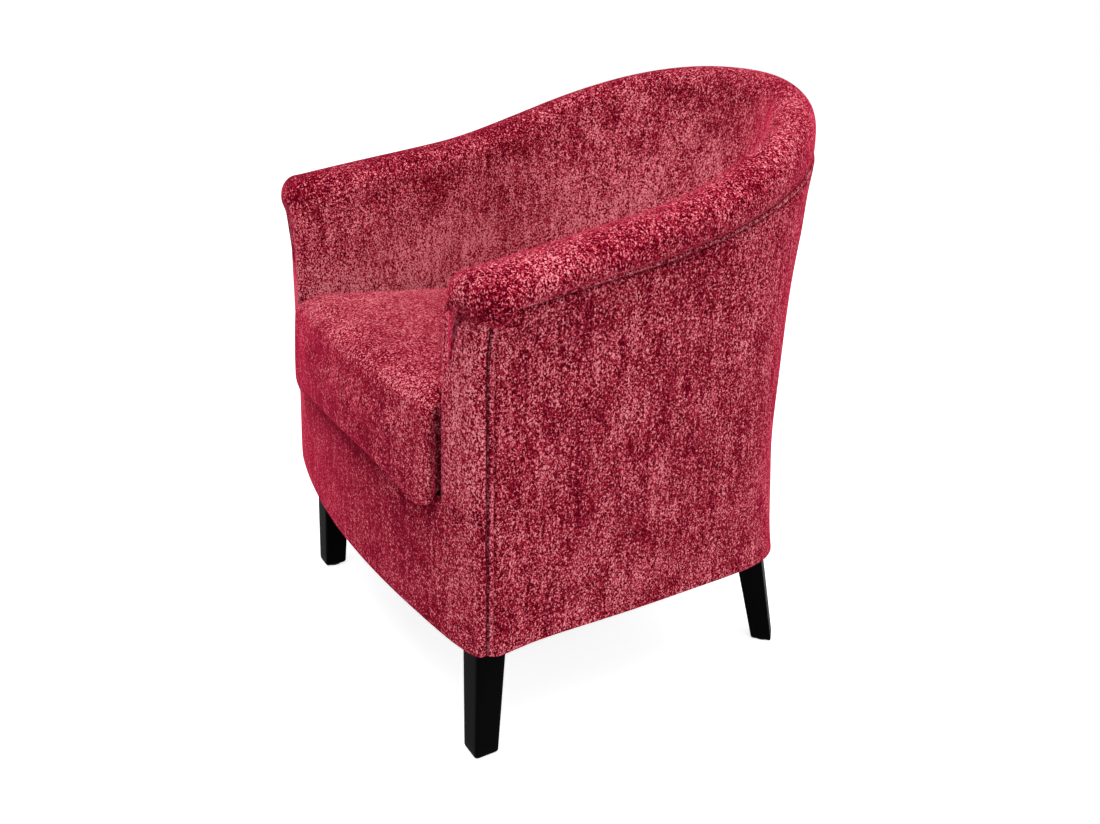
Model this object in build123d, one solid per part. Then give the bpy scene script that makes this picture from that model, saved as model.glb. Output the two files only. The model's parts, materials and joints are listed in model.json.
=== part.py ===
import math
import os
from collections import namedtuple

from build123d import *

# Tub chair in millimetres: +Z up, the seat faces -Y, the origin is on the floor under the chair's middle.
# A run is a distance behind the front seams, an out is a distance from the middle plane or, round the
# back, from the upright axis that the back curves about.

# Body
hem_height = 172.0
half_width = 298.0
wall_lean = 19.0
arm_run = 289.0
base_reach = 223.0
top_reach = 299.5
rake_power = 2.4
base_squareness = 4.2
top_squareness = 2.45
round_power = 0.5
front_bow = 36.0
cover_thickness = 4.0
frame_clear = 3.0
gap = 0.4

# Rim roll
arm_height = 584.0
arm_slope = 0.171
rise = 73.0
rise_start = 216.0
rise_end = 658.0
roll_front_half = 273.0
roll_fan_half = 257.5
roll_reach = 270.0
roll_squareness = 2.135
roll_front_radius = 42.0
roll_back_radius = 29.0
roll_front_lift = 30.5
roll_back_lift = 35.0
seam_front_drop = 7.5
seam_back_drop = 26.0
arm_flare = 14.0
flare_height = 80.0
nose_depth = 14.0
nose_share = 0.62

# Inside padding
pad_foot = 320.0
pad_crown = 2.0
arm_swell = 10.0
seat_level = 465.0
seat_reach = 175.0
back_rake = 0.255
inner_squareness = 2.3

# Front panels
panel_thickness = 12.0
border_drop = 5.0

# Seat cushion and deck
cushion_tuck = 26.0
cushion_height = 120.0
cushion_crown = 12.0
cushion_overhang = 10.0
cushion_side_gap = 5.0
cushion_edge = 16.0
cushion_corner = 34.0
cushion_cover_thickness = 2.5
seat_tilt = 3.5
deck_pad_thickness = 20.0
deck_cloth_thickness = 1.5
deck_corner = 12.0

# Timber frame
rail_thickness = 20.0
rail_height = 90.0
rail_lift = 2.0
arm_rail_height = 44.0
stay_height = 400.0
stay_width = 45.0
post_width = 25.0
post_depth = 42.0
back_post_width = 44.0
back_post_angle = 39.0
front_rail_thickness = 16.0
dowel_radius = 3.0
dowel_length = 36.0
block_height = 45.0
block_width = 52.0
block_depth = 46.0
rear_block_width = 40.0
screw_radius = 2.0
screw_head_radius = 4.0
screw_bite = 14.0

# Springs and webbing
spring_count = 5
spring_pitch = 80.0
wire_radius = 1.8
spring_half_width = 18.0
bar_pitch = 17.0
clip_width = 16.0
clip_depth = 12.0
clip_height = 7.6
strap_width = 50.0
strap_thickness = 2.0
strap_angles = (58.0, 80.0, 100.0, 122.0)
arm_strap_runs = (110.0, 215.0)

# Legs
leg_side_inset = 51.0
leg_front_run = 30.0
leg_foot_side_inset = 48.0
leg_foot_run = 24.0
front_leg_top = 39.0
front_leg_foot = 31.0
front_leg_round = 6.0
rear_foot_side_inset = 59.0
rear_foot_end_inset = 12.0
rear_leg_top = 37.0
rear_leg_foot = 29.0
rear_leg_round = 2.5
glide_radius = 11.0
glide_height = 3.0
glide_pin_radius = 1.4
glide_pin_length = 14.0
bolt_radius = 4.0
bolt_bite = 38.0
nut_radius = 5.5
nut_depth = 12.0
flange_radius = 8.0
flange_thickness = 1.6
dust_cover_thickness = 1.0
dust_cover_inset = 8.0

depth = front_bow + cushion_overhang + arm_run + roll_reach + roll_back_radius
front_y = front_bow + cushion_overhang - depth / 2
fan_y = front_y + arm_run
rail_bottom = hem_height + rail_lift
wood_out = cover_thickness + frame_clear
wood_in = wood_out + rail_thickness
pad_out = wood_out + post_width + gap
cushion_bottom = pad_foot + cushion_tuck
border_top = cushion_bottom - border_drop
straight_angle = 180.0

Station = namedtuple("Station", "plane wall flare rim inner run")


def blend(low, high, share):
    return low + (high - low) * share


def smooth_step(share):
    share = min(max(share, 0.0), 1.0)
    return share * share * (3 - 2 * share)


def swell(side, back, squareness, angle):
    """Distance from the axis to a rounded box outline, half as wide as side and back deep."""
    across = abs(math.cos(angle)) / side
    along = abs(math.sin(angle)) / back
    return (across**squareness + along**squareness) ** (-1 / squareness)


def rim_height(run):
    return arm_height + arm_slope * run + rise * smooth_step((run - rise_start) / (rise_end - rise_start))


def roll_share(run):
    return run / (arm_run + roll_reach)


def roll_half(run):
    return blend(roll_front_radius, roll_back_radius, roll_share(run))


def seam_height(run):
    return rim_height(run) - blend(seam_front_drop, seam_back_drop, roll_share(run))


crest_height = rim_height(arm_run + roll_reach)
inner_front_half = roll_front_half - roll_half(0)
inner_fan_half = roll_fan_half - roll_half(arm_run)
seat_front_half = inner_front_half - arm_swell


def climb(height):
    return (height - hem_height) / (crest_height - hem_height)


def side_wall(height):
    return half_width - wall_lean * climb(height)


def back_reach(height):
    return blend(base_reach, top_reach, climb(height) ** rake_power)


def back_squareness(height):
    return blend(base_squareness, top_squareness, climb(height) ** round_power)


def back_wall(angle, height):
    return swell(side_wall(height), back_reach(height), back_squareness(height), angle)


def inner_reach(height):
    return seat_reach + back_rake * (height - seat_level)


bow_radius = (half_width**2 + front_bow**2) / (2 * front_bow)


def front_line(out):
    """Run of the bowed front, an arc of one radius, at a distance from the middle plane."""
    return bow_radius - front_bow - math.sqrt(bow_radius**2 - out**2)


def arm_station(run):
    def plane(out, height):
        return Vector(out, front_y + run, height)

    share = run / arm_run
    inner = blend(seat_front_half, inner_fan_half, share)
    rim = blend(inner_front_half, inner_fan_half, share) + roll_half(run)
    flare = arm_flare * (1 - share) ** 2
    return Station(plane, side_wall, flare, rim, lambda height: inner, run)


def fan_station(degrees):
    angle = math.radians(degrees)
    rim = swell(roll_fan_half, roll_reach, roll_squareness, angle)

    def plane(out, height):
        return Vector(out * math.cos(angle), fan_y + out * math.sin(angle), height)

    def inner(height):
        return swell(inner_fan_half, inner_reach(height), inner_squareness, angle)

    run = arm_run + rim * math.sin(angle)
    return Station(plane, lambda height: back_wall(angle, height), 0.0, rim, inner, run)


arm_shares = (0.0, 0.3, 0.6, 0.8, 1.0)
arm_stations = [arm_station(arm_run * share) for share in arm_shares]
quarter_angles = (0.0, 5.0, 14.0, 26.0, 39.0, 54.0, 71.0)
fan_angles = quarter_angles + (90.0,) + tuple(straight_angle - angle for angle in reversed(quarter_angles))
fan_stations = [fan_station(angle) for angle in fan_angles]
outline_angles = (0.0, 13.0, 26.0, 39.0, 54.0, 72.0, 90.0, 108.0, 126.0, 141.0, 154.0, 167.0, 180.0)


def span(start, middle, end):
    """An arc through three points, or a line where they are in line."""
    chord = end - start
    if (middle - start).cross(chord).length < 0.05 * chord.length:
        return Line(start, end)
    return ThreePointArc(start, middle, end)


def loop(plane, *steps):
    """A closed wire in a station's plane: each step is an end point, or a middle and an end point."""
    start = plane(*steps[-1][-1])
    edges = []
    for step in steps:
        points = [plane(*point) for point in step]
        edges.append(span(start, *points) if len(points) == 2 else Line(start, points[0]))
        start = points[-1]
    return Wire(edges)


def band(stations, section):
    return Solid.make_loft([section(station) for station in stations])


def mirrored(solid):
    return mirror(solid, about=Plane.YZ)


def under_roll(station):
    return seam_height(station.run) - gap


def roll_section(station, share=1.0):
    half = roll_half(station.run) * share
    lift = blend(roll_front_lift, roll_back_lift, roll_share(station.run)) * share
    middle = rim_height(station.run)
    seam = blend(middle, seam_height(station.run), share)
    seam_out = blend(station.rim, station.wall(seam) + station.flare, share)
    corner = math.sqrt(0.5)
    inside = (station.rim - half, middle)
    outside = (station.rim + half, middle)
    return loop(
        station.plane,
        [(station.rim - half * corner, middle + lift * corner), (station.rim, middle + lift)],
        [(station.rim + half * corner, middle + lift * corner), outside],
        [(blend(seam_out, outside[0], corner), blend(middle, seam, corner)), (seam_out, seam)],
        [(station.rim - half, seam)],
        [inside],
    )


def cover_section(station):
    top = under_roll(station)
    neck = top - flare_height
    low_middle = (hem_height + neck) / 2
    high_middle = (neck + top) / 2

    def face(inset):
        return (
            (station.wall(hem_height) - inset, hem_height),
            (station.wall(low_middle) - inset, low_middle),
            (station.wall(neck) - inset, neck),
            (station.wall(high_middle) + station.flare * 0.25 - inset, high_middle),
            (station.wall(top) + station.flare - inset, top),
        )

    outer = face(0.0)
    lining = face(cover_thickness)
    return loop(
        station.plane,
        outer[1:3],
        outer[3:5],
        [lining[4]],
        [lining[3], lining[2]],
        [lining[1], lining[0]],
        [outer[0]],
    )


def pad_section(station):
    top = under_roll(station)
    middle = (pad_foot + top) / 2
    inner_top = station.rim - roll_half(station.run)
    outer = [(station.wall(height) - pad_out, height) for height in (pad_foot, middle, top)]
    return loop(
        station.plane,
        [(blend(station.inner(pad_foot), inner_top, 0.5) - pad_crown, middle), (inner_top, top)],
        [outer[2]],
        [outer[1], outer[0]],
        [(station.inner(pad_foot), pad_foot)],
    )


def rail_section(low, high):
    """Section of a rail against the outside cover, between two heights of its station."""

    def section(station):
        heights = (low(station), high(station))
        outer = [(station.wall(height) - wood_out, height) for height in heights]
        inner = [(station.wall(height) - wood_in, height) for height in heights]
        return loop(station.plane, [outer[1]], [inner[1]], [inner[0]], [outer[0]])

    return section


def board_section(low, high, inset, thickness):
    """Section of a board that follows the back wall from one height to another."""

    def section(station):
        heights = [blend(low, high, share) for share in (0.0, 0.5, 1.0)]
        outer = [(station.wall(height) - inset, height) for height in heights]
        inner = [(out - thickness, height) for out, height in outer]
        return loop(station.plane, outer[1:], [inner[2]], [inner[1], inner[0]], [outer[0]])

    return section


def half_turn(width):
    """Angle at the back's axis that half a width takes up on the back wall."""
    return math.degrees(width / 2 / back_wall(math.radians(back_post_angle), stay_height))


def fan_board(degrees, width, low, high, inset, thickness):
    """A board against the back wall, centred on an angle of the back's curve."""
    sway = half_turn(width)
    stations = [fan_station(degrees + turn) for turn in (-sway, 0.0, sway)]
    return band(stations, board_section(low, high, inset, thickness))


def level(height):
    return lambda station: height


def rail_top(station):
    return under_roll(station) - frame_clear


def rail_foot(station):
    return rail_top(station) - arm_rail_height


# Rim roll, inside padding and outside covers
nose = [(-nose_depth, nose_share), (-nose_depth * 0.6, blend(nose_share, 1.0, 0.66)), (nose_depth * 0.3, 1.0)]
nose_wires = [roll_section(arm_station(run), share) for run, share in nose]
roll_wires = [nose_wires[-1]] + [roll_section(station) for station in arm_stations[1:]]
arm_roll = Solid.make_loft(nose_wires, True) + Solid.make_loft(roll_wires)
back_roll = band(fan_stations, roll_section)
pad_start = front_line(side_wall(pad_foot) - pad_out) + panel_thickness + gap
inside_arm = band([arm_station(pad_start)] + arm_stations[1:], pad_section)
inside_back = band(fan_stations, pad_section)
outside_arm = band(arm_stations, cover_section)
outside_back = band(fan_stations, cover_section)


def front_strip(low_out, high_out, front, back, height):
    """A wire along the bowed front: between two outs, from a front offset to a back offset."""

    def point(out, offset):
        return Vector(out, front_y + front_line(out) + offset, height)

    middle = (low_out + high_out) / 2
    return Wire(
        [
            ThreePointArc(point(low_out, front), point(middle, front), point(high_out, front)),
            Line(point(high_out, front), point(high_out, back)),
            ThreePointArc(point(high_out, back), point(middle, back), point(low_out, back)),
            Line(point(low_out, back), point(low_out, front)),
        ]
    )


# Front panels: the facings on the arm fronts and the border under the cushion
facing_foot = border_top + gap
facing_top = under_roll(arm_stations[0])
facing_neck = facing_top - flare_height
facing_bend = facing_top - flare_height / 2
facing_levels = [
    (facing_foot, seat_front_half, side_wall(facing_foot)),
    (facing_neck, blend(seat_front_half, inner_front_half, 0.5), side_wall(facing_neck)),
    (facing_bend, inner_front_half, side_wall(facing_bend) + arm_flare * 0.25),
    (facing_top, inner_front_half, side_wall(facing_top) + arm_flare),
]
facing_wires = [
    front_strip(inner, outer - cover_thickness - 4 * gap, 0.0, panel_thickness, height)
    for height, inner, outer in facing_levels
]
arm_facing = Solid.make_loft(facing_wires[:2], True) + Solid.make_loft(facing_wires[1:])
border_wires = []
for height in (hem_height, border_top):
    border_half = side_wall(height) - cover_thickness - gap
    border_wires.append(front_strip(-border_half, border_half, 0.0, panel_thickness, height))
front_border = Solid.make_loft(border_wires, True)


# Seat: the cushion, the deck pad and the deck cloth share one outline and one tilt
seat_pivot = Axis((0, front_y - front_bow - cushion_overhang, cushion_bottom + cushion_height / 2), (1, 0, 0))


def tilted(shape):
    return shape.rotate(seat_pivot, -seat_tilt)


def seat_outline(front, half_front, half_fan, reach, squareness, corner, bow, height):
    """A wire round the seat: bowed front, straight sides, and a back of arcs through the back's curve."""

    def point(out, run):
        return Vector(out, front_y + run, height)

    def side_out(run):
        return blend(half_front, half_fan, run / arm_run)

    front_out = half_front - corner
    front_run = front - bow * (1 - (front_out / half_front) ** 2)
    side_run = front + corner
    round_out = side_out(front) - corner * 0.26
    round_run = front + corner * 0.2
    back = []
    for degrees in outline_angles:
        angle = math.radians(degrees)
        out = swell(half_fan, reach, squareness, angle)
        back.append(point(out * math.cos(angle), arm_run + out * math.sin(angle)))
    front_ends = [point(side * front_out, front_run) for side in (-1, 1)]
    side_ends = [point(side * side_out(side_run), side_run) for side in (-1, 1)]
    rounds = [point(side * round_out, round_run) for side in (-1, 1)]
    edges = [
        ThreePointArc(front_ends[0], point(0, front - bow), front_ends[1]),
        ThreePointArc(front_ends[1], rounds[1], side_ends[1]),
        Line(side_ends[1], back[0]),
    ]
    edges += [ThreePointArc(*back[place : place + 3]) for place in range(0, len(back) - 1, 2)]
    edges += [Line(back[-1], side_ends[0]), ThreePointArc(side_ends[0], rounds[0], front_ends[0])]
    return Wire(edges)


def cushion_wire(height, inset):
    """Outline of the cushion at a height above its bottom, drawn in by an inset."""
    room = inner_reach(pad_foot + height) - cushion_side_gap - pad_crown
    return seat_outline(
        -cushion_overhang + inset,
        seat_front_half - cushion_side_gap - inset,
        inner_fan_half - cushion_side_gap - pad_crown - inset,
        room - inset,
        inner_squareness,
        cushion_corner - min(inset, cushion_edge) * 0.5,
        front_bow,
        cushion_bottom + height,
    )


def cushion_solid(skin):
    side = cushion_edge * 0.3
    profile = [
        (skin, cushion_edge),
        (cushion_edge * 0.35 + skin * 0.5, side),
        (cushion_height * 0.25, side * 0.2),
        (cushion_height * 0.5, 0.0),
        (cushion_height * 0.75, side * 0.2),
        (cushion_height - cushion_edge * 0.35 - skin * 0.5, side),
        (cushion_height - skin, cushion_edge),
        (cushion_height + cushion_crown * 0.6 - skin, cushion_edge * 3.5),
        (cushion_height + cushion_crown - skin, cushion_edge * 7.0),
    ]
    return Solid.make_loft([cushion_wire(height, inset + skin) for height, inset in profile], True)


def seat_layer(top, thickness):
    """A flat layer of the deck under the cushion, behind the front border."""
    foot_reach = inner_reach(pad_foot) - cushion_side_gap - pad_crown
    wire = seat_outline(
        panel_thickness + gap,
        seat_front_half - cushion_side_gap,
        inner_fan_half - cushion_side_gap - pad_crown,
        foot_reach,
        inner_squareness,
        deck_corner,
        front_bow * (seat_front_half / half_width) ** 2,
        top - thickness,
    )
    return extrude(Face(wire), thickness, dir=(0, 0, 1))


deck_top = cushion_bottom - gap
deck_cloth_top = deck_top - deck_pad_thickness - gap
wire_level = deck_cloth_top - deck_cloth_thickness - gap - wire_radius
cushion_core = cushion_solid(cushion_cover_thickness)
cushion_cover = cushion_solid(0.0) - cushion_core


def spring_height(run):
    """Height of a spring wire's middle at a run, on the tilted deck."""
    drop = (run + front_bow + cushion_overhang) * math.tan(math.radians(seat_tilt))
    stretch = 1 / math.cos(math.radians(seat_tilt)) - 1
    return wire_level - drop - (wire_level - seat_pivot.position.Z) * stretch


# Timber frame
clip_foot = clip_height - wire_radius
spring_sides = [spring_pitch * (place - (spring_count - 1) / 2) for place in range(spring_count)]
front_rail_top = (
    spring_height(front_line(max(spring_sides)) + panel_thickness + front_rail_thickness)
    - clip_foot
    - gap
)
front_rail_back = panel_thickness + gap + front_rail_thickness
front_rail_half = side_wall(front_rail_top) - wood_out - post_width - gap
front_rail_face = Face(
    front_strip(-front_rail_half, front_rail_half, panel_thickness + gap, front_rail_back, rail_bottom)
)
front_rail = extrude(front_rail_face, front_rail_top - rail_bottom, dir=(0, 0, 1))
back_rail_top = spring_height(arm_run + base_reach - wood_out) - clip_foot - gap
post_front = panel_thickness + gap
post_back = post_front + post_depth
post_top = rail_top(arm_station(post_front))


def post_wire(height):
    outer = side_wall(height) - wood_out
    return Wire.make_polygon(
        [
            Vector(outer - post_width, front_y + post_front, height),
            Vector(outer, front_y + post_front, height),
            Vector(outer, front_y + post_back, height),
            Vector(outer - post_width, front_y + post_back, height),
        ]
    )


front_post = Solid.make_loft([post_wire(rail_bottom), post_wire(post_top)], True)
rail_stations = [arm_station(post_back + gap)] + arm_stations[1:-1] + [arm_station(arm_run - gap)]
side_rail = band(rail_stations, rail_section(level(rail_bottom), level(rail_bottom + rail_height)))
arm_rail = band(rail_stations, rail_section(rail_foot, rail_top))
back_rail = band(fan_stations, rail_section(level(rail_bottom), level(back_rail_top)))
top_rail = band(fan_stations, rail_section(rail_foot, rail_top))

post_sway = half_turn(back_post_width)
stay_start = back_post_angle + half_turn(back_post_width + 3 * gap)
stay_ends = (stay_start, straight_angle - stay_start)
stay_stations = [fan_station(blend(*stay_ends, step / 6)) for step in range(7)]
stay_rail = band(stay_stations, rail_section(level(stay_height), level(stay_height + stay_width)))
back_post_top = min(rail_foot(fan_station(back_post_angle + sway)) for sway in (-post_sway, post_sway)) - gap
back_post = fan_board(
    back_post_angle, back_post_width, back_rail_top + gap, back_post_top, wood_out, rail_thickness
)

# Webbing straps on the inner faces of the rails
strap_seat = wood_in + 2 * gap
back_webbing = []
for degrees in strap_angles:
    strap_top = rail_top(fan_station(degrees)) - arm_rail_height / 3
    back_webbing.append(fan_board(degrees, strap_width, stay_height, strap_top, strap_seat, strap_thickness))


def arm_strap(run):
    low = rail_bottom + rail_height / 2
    high = rail_top(arm_station(run)) - arm_rail_height / 3
    seat = wood_in + gap
    points = [
        (side_wall(low) - seat, low),
        (side_wall(high) - seat, high),
        (side_wall(high) - seat - strap_thickness, high),
        (side_wall(low) - seat - strap_thickness, low),
    ]
    wire = Wire.make_polygon([Vector(out, front_y + run - strap_width / 2, height) for out, height in points])
    return extrude(Face(wire), strap_width, dir=(0, 1, 0))


arm_webbing = [arm_strap(run) for run in arm_strap_runs]

# Sinuous springs from the front rail to the back rail, each one wire held by a clip at each end


def back_run(side, height, inset):
    """Run of the back wall's inner side at a distance from the middle plane."""
    power = back_squareness(height)
    across = (abs(side) / (side_wall(height) - inset)) ** power
    return arm_run + (back_reach(height) - inset) * (1 - across) ** (1 / power)


tilt_shift = (seat_pivot.position.Z - wire_level) * math.sin(math.radians(seat_tilt))


def spring_path(side):
    start = front_line(side) + panel_thickness + gap + front_rail_thickness - clip_depth + tilt_shift
    finish = back_run(side, back_rail_top, wood_in) + (rail_thickness + clip_depth) / 2 + tilt_shift
    bars = int((finish - start - 3 * clip_depth) / bar_pitch)
    first = (start + finish - (bars - 1) * bar_pitch) / 2
    hand = -1
    points = [(side + hand * spring_half_width, start)]
    for bar in range(bars):
        run = first + bar * bar_pitch
        points += [(side + hand * spring_half_width, run), (side - hand * spring_half_width, run)]
        hand = -hand
    points.append((side + hand * spring_half_width, finish))
    return [Vector(out, front_y + run, wire_level) for out, run in points]


def spring(points):
    path = FilletPolyline(*points, radius=bar_pitch * 0.45)
    return tilted(sweep(Plane(points[0], z_dir=points[1] - points[0]) * Circle(wire_radius), path=path))


def spring_clip(end, inward):
    middle = end + Vector(0, inward * clip_depth / 2, 0)
    body_middle = middle - Vector(0, 0, clip_height / 2 - wire_radius)
    body = Pos(body_middle) * Box(clip_width, clip_depth, clip_height)
    bore = Pos(middle) * Rot(90, 0, 0) * Cylinder(wire_radius + gap / 2, clip_depth * 2)
    return tilted(body - bore)


spring_paths = [spring_path(side) for side in spring_sides]
seat_springs = [spring(points) for points in spring_paths]
spring_clips = [spring_clip(points[0], 1) for points in spring_paths]
spring_clips += [spring_clip(points[-1], -1) for points in spring_paths]

# Corner blocks, with the T-nuts, hanger bolts and legs that they carry
block_top = rail_bottom + block_height
front_block_out = side_wall(block_top) - wood_out - post_width - gap
front_block_run = front_line(front_block_out) + panel_thickness + front_rail_thickness + 2 * gap
corner_share = 0.5 ** (1 / base_squareness)
rear_corner = Vector(half_width * corner_share, fan_y + base_reach * corner_share, 0)
rear_out = Vector(1 / half_width, 1 / base_reach, 0).normalized()
rear_across = Vector(-rear_out.Y, rear_out.X, 0)


def rail_setback(degrees, height):
    """How far the back rail's inner face lies behind and beside the rear corner, at an angle and a height."""
    station = fan_station(degrees)
    share = (height - rail_bottom) / (back_rail_top - rail_bottom)
    out = blend(station.wall(rail_bottom), station.wall(back_rail_top), share) - wood_in
    offset = station.plane(out, 0) - rear_corner
    return -offset.dot(rear_out), offset.dot(rear_across)


corner_angles = [step / 4 for step in range(60, 270)]
block_levels = (rail_bottom, block_top)
rail_setbacks = [rail_setback(angle, height) for angle in corner_angles for height in block_levels]
rear_block_reach = rear_block_width / 2 + gap
rear_block_set = 3 * gap + max(back for back, across in rail_setbacks if abs(across) < rear_block_reach)
rear_leg_inset = rear_block_set + flange_radius + gap
leg_tops = {
    "front": Vector(half_width - leg_side_inset, front_y + leg_front_run, rail_bottom),
    "rear": rear_corner - rear_out * rear_leg_inset + Vector(0, 0, rail_bottom),
}
leg_feet = {
    "front": Vector(half_width - leg_foot_side_inset, front_y + leg_foot_run, glide_height),
    "rear": Vector(half_width - rear_foot_side_inset, fan_y + base_reach - rear_foot_end_inset, glide_height),
}
leg_sizes = {
    "front": (front_leg_top, front_leg_foot, front_leg_round),
    "rear": (rear_leg_top, rear_leg_foot, rear_leg_round),
}
leg_turns = {"front": Vector(1, 0, 0), "rear": rear_out}


def upright(base, radius, length):
    return Solid.make_cylinder(radius, length, Plane(base))


def rod(start, end, radius):
    return Solid.make_cylinder(radius, (end - start).length, Plane(start, z_dir=end - start))


def leg(which):
    top_width, foot_width, edge = leg_sizes[which]
    turn = leg_turns[which]
    top = Plane(leg_tops[which], x_dir=turn) * RectangleRounded(top_width, top_width, edge)
    foot_edge = edge * foot_width / top_width
    foot = Plane(leg_feet[which], x_dir=turn) * RectangleRounded(foot_width, foot_width, foot_edge)
    bolt_hole = upright(leg_tops[which] - Vector(0, 0, bolt_bite + gap), bolt_radius, bolt_bite + gap)
    pin_hole = upright(leg_feet[which], glide_pin_radius, glide_pin_length + gap)
    return loft([foot, top], ruled=True) - bolt_hole - pin_hole


def block(which):
    top = leg_tops[which]
    if which == "front":
        corner = Vector(front_block_out - block_width, front_y + front_block_run, rail_bottom)
        body = Solid.make_box(block_width, block_depth, block_height, Plane(corner))
    else:
        inner_face = rear_corner - rear_out * (rear_block_set + block_depth)
        corner = inner_face - rear_across * (rear_block_width / 2)
        plane = Plane(corner + Vector(0, 0, rail_bottom), x_dir=rear_out)
        body = Solid.make_box(block_depth, rear_block_width, block_height, plane)
    hole = upright(top, bolt_radius + gap, block_height)
    seat = upright(top + Vector(0, 0, block_height - nut_depth), nut_radius, nut_depth)
    return body - hole - seat


def hanger_bolt(which):
    return upright(leg_tops[which] - Vector(0, 0, bolt_bite), bolt_radius, bolt_bite + block_height)


def t_nut(which):
    shoulder = leg_tops[which] + Vector(0, 0, block_height)
    barrel = upright(shoulder - Vector(0, 0, nut_depth), nut_radius, nut_depth)
    flange = upright(shoulder, flange_radius, flange_thickness)
    bore = upright(shoulder - Vector(0, 0, nut_depth), bolt_radius, nut_depth + flange_thickness)
    return barrel + flange - bore


def glide(which):
    base = leg_feet[which] - Vector(0, 0, glide_height)
    pin = upright(base, glide_pin_radius, glide_height + glide_pin_length)
    return upright(base, glide_radius, glide_height) + pin


def both(solids):
    return list(solids) + [mirrored(solid) for solid in solids]


def screw(head, tip):
    """A screw with its head under the start of its shank."""
    direction = (tip - head).normalized()
    crown = head - direction * screw_head_radius / 2
    return rod(head, tip, screw_radius) + rod(crown, head, screw_head_radius)


ends = ("front", "rear")
legs = {which: leg(which) for which in ends}
screw_levels = (rail_bottom + block_height * 0.3, rail_bottom + block_height * 0.7)
front_screw_run = front_y + post_back - dowel_length * 0.2
front_screws = [
    screw(
        Vector(front_block_out - block_width, front_screw_run, height),
        Vector(front_block_out + screw_bite, front_screw_run, height),
    )
    for height in screw_levels
]
rear_screws = []
for side in (-1, 1):
    start = rear_corner + rear_across * (side * rear_block_width * 0.33)
    start += Vector(0, 0, rail_bottom + block_height / 2)
    head = start - rear_out * (rear_block_set + block_depth)
    rear_screws.append(screw(head, start - rear_out * (rear_block_set - screw_bite)))
blocks = {"front": block("front"), "rear": block("rear")}
for fixing in front_screws:
    blocks["front"] -= fixing
    front_post -= fixing
for fixing in rear_screws:
    blocks["rear"] -= fixing
for fixing in both(rear_screws):
    back_rail -= fixing

# Dowels that join the rails to the posts and to each other
rail_middle = wood_out + rail_thickness / 2
front_rail_end = front_line(front_rail_half) + panel_thickness + front_rail_thickness
front_dowel_run = front_y + (post_front + front_rail_end) / 2
reach = Vector(dowel_length / 2, 0, 0)
along = Vector(0, dowel_length / 2, 0)
front_dowels = []
side_dowels = []
rear_dowels = []
for height in (rail_bottom + rail_height * 0.28, rail_bottom + rail_height * 0.72):
    joint = Vector(front_rail_half, front_dowel_run, height)
    front_dowels.append(rod(joint - reach, joint + reach, dowel_radius))
    joint = Vector(side_wall(height) - rail_middle, front_y + post_back, height)
    side_dowels.append(rod(joint - along, joint + along, dowel_radius))
    joint = Vector(side_wall(height) - rail_middle, fan_y, height)
    rear_dowels.append(rod(joint - along, joint + along, dowel_radius))
arm_joint = rail_foot(arm_station(post_back)) + arm_rail_height / 2
joint = Vector(side_wall(arm_joint) - rail_middle, front_y + post_back, arm_joint)
arm_dowel = rod(joint - along, joint + along, dowel_radius)
top_joint = rail_foot(arm_stations[-1]) + arm_rail_height / 2
joint = Vector(side_wall(top_joint) - rail_middle, fan_y, top_joint)
top_dowel = rod(joint - along, joint + along, dowel_radius)
for dowel in front_dowels + side_dowels + [arm_dowel]:
    front_post -= dowel
for dowel in side_dowels + rear_dowels:
    side_rail -= dowel
arm_rail = arm_rail - arm_dowel - top_dowel
for dowel in both(front_dowels):
    front_rail -= dowel
for dowel in both(rear_dowels):
    back_rail -= dowel
top_rail = top_rail - top_dowel - mirrored(top_dowel)

# Dust cover under the seat, cut out round the legs
cover_half = half_width - dust_cover_inset
cover_sheet = seat_outline(
    panel_thickness + gap,
    cover_half,
    cover_half,
    base_reach - dust_cover_inset,
    base_squareness,
    deck_corner,
    front_bow,
    hem_height + rail_lift / 4,
)
dust_cover = extrude(Face(cover_sheet), dust_cover_thickness, dir=(0, 0, 1))
for which in ends:
    hole_width = leg_sizes[which][0] + 4 * gap
    plane = Plane(Vector(leg_tops[which].X, leg_tops[which].Y, hem_height), x_dir=leg_turns[which])
    hole = plane * Box(hole_width, hole_width, 4 * rail_lift)
    dust_cover = dust_cover - hole - mirrored(hole)


def export(name, solids):
    shape = solids[0] if len(solids) == 1 else Compound(list(solids))
    export_step(shape, os.path.join("parts", name + ".step"))


pairs = {
    "arm_roll": [arm_roll],
    "inside_arm": [inside_arm],
    "outside_arm": [outside_arm],
    "arm_facing": [arm_facing],
    "front_post": [front_post],
    "back_post": [back_post],
    "side_rail": [side_rail],
    "arm_rail": [arm_rail],
    "arm_webbing": arm_webbing,
    "front_leg": [legs["front"]],
    "rear_leg": [legs["rear"]],
}
singles = {
    "back_roll": [back_roll],
    "inside_back": [inside_back],
    "outside_back": [outside_back],
    "front_border": [front_border],
    "front_rail": [front_rail],
    "back_rail": [back_rail],
    "top_rail": [top_rail],
    "stay_rail": [stay_rail],
    "corner_blocks": both(list(blocks.values())),
    "block_screws": both(front_screws + rear_screws),
    "frame_dowels": both(front_dowels + side_dowels + rear_dowels + [arm_dowel, top_dowel]),
    "back_webbing": back_webbing,
    "seat_springs": seat_springs,
    "spring_clips": spring_clips,
    "deck_cloth": [tilted(seat_layer(deck_cloth_top, deck_cloth_thickness))],
    "deck_pad": [tilted(seat_layer(deck_top, deck_pad_thickness))],
    "seat_cushion_core": [tilted(cushion_core)],
    "seat_cushion_cover": [tilted(cushion_cover)],
    "dust_cover": [dust_cover],
    "hanger_bolts": both([hanger_bolt(which) for which in ends]),
    "leg_t_nuts": both([t_nut(which) for which in ends]),
    "leg_glides": both([glide(which) for which in ends]),
}
os.makedirs("parts", exist_ok=True)
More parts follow.
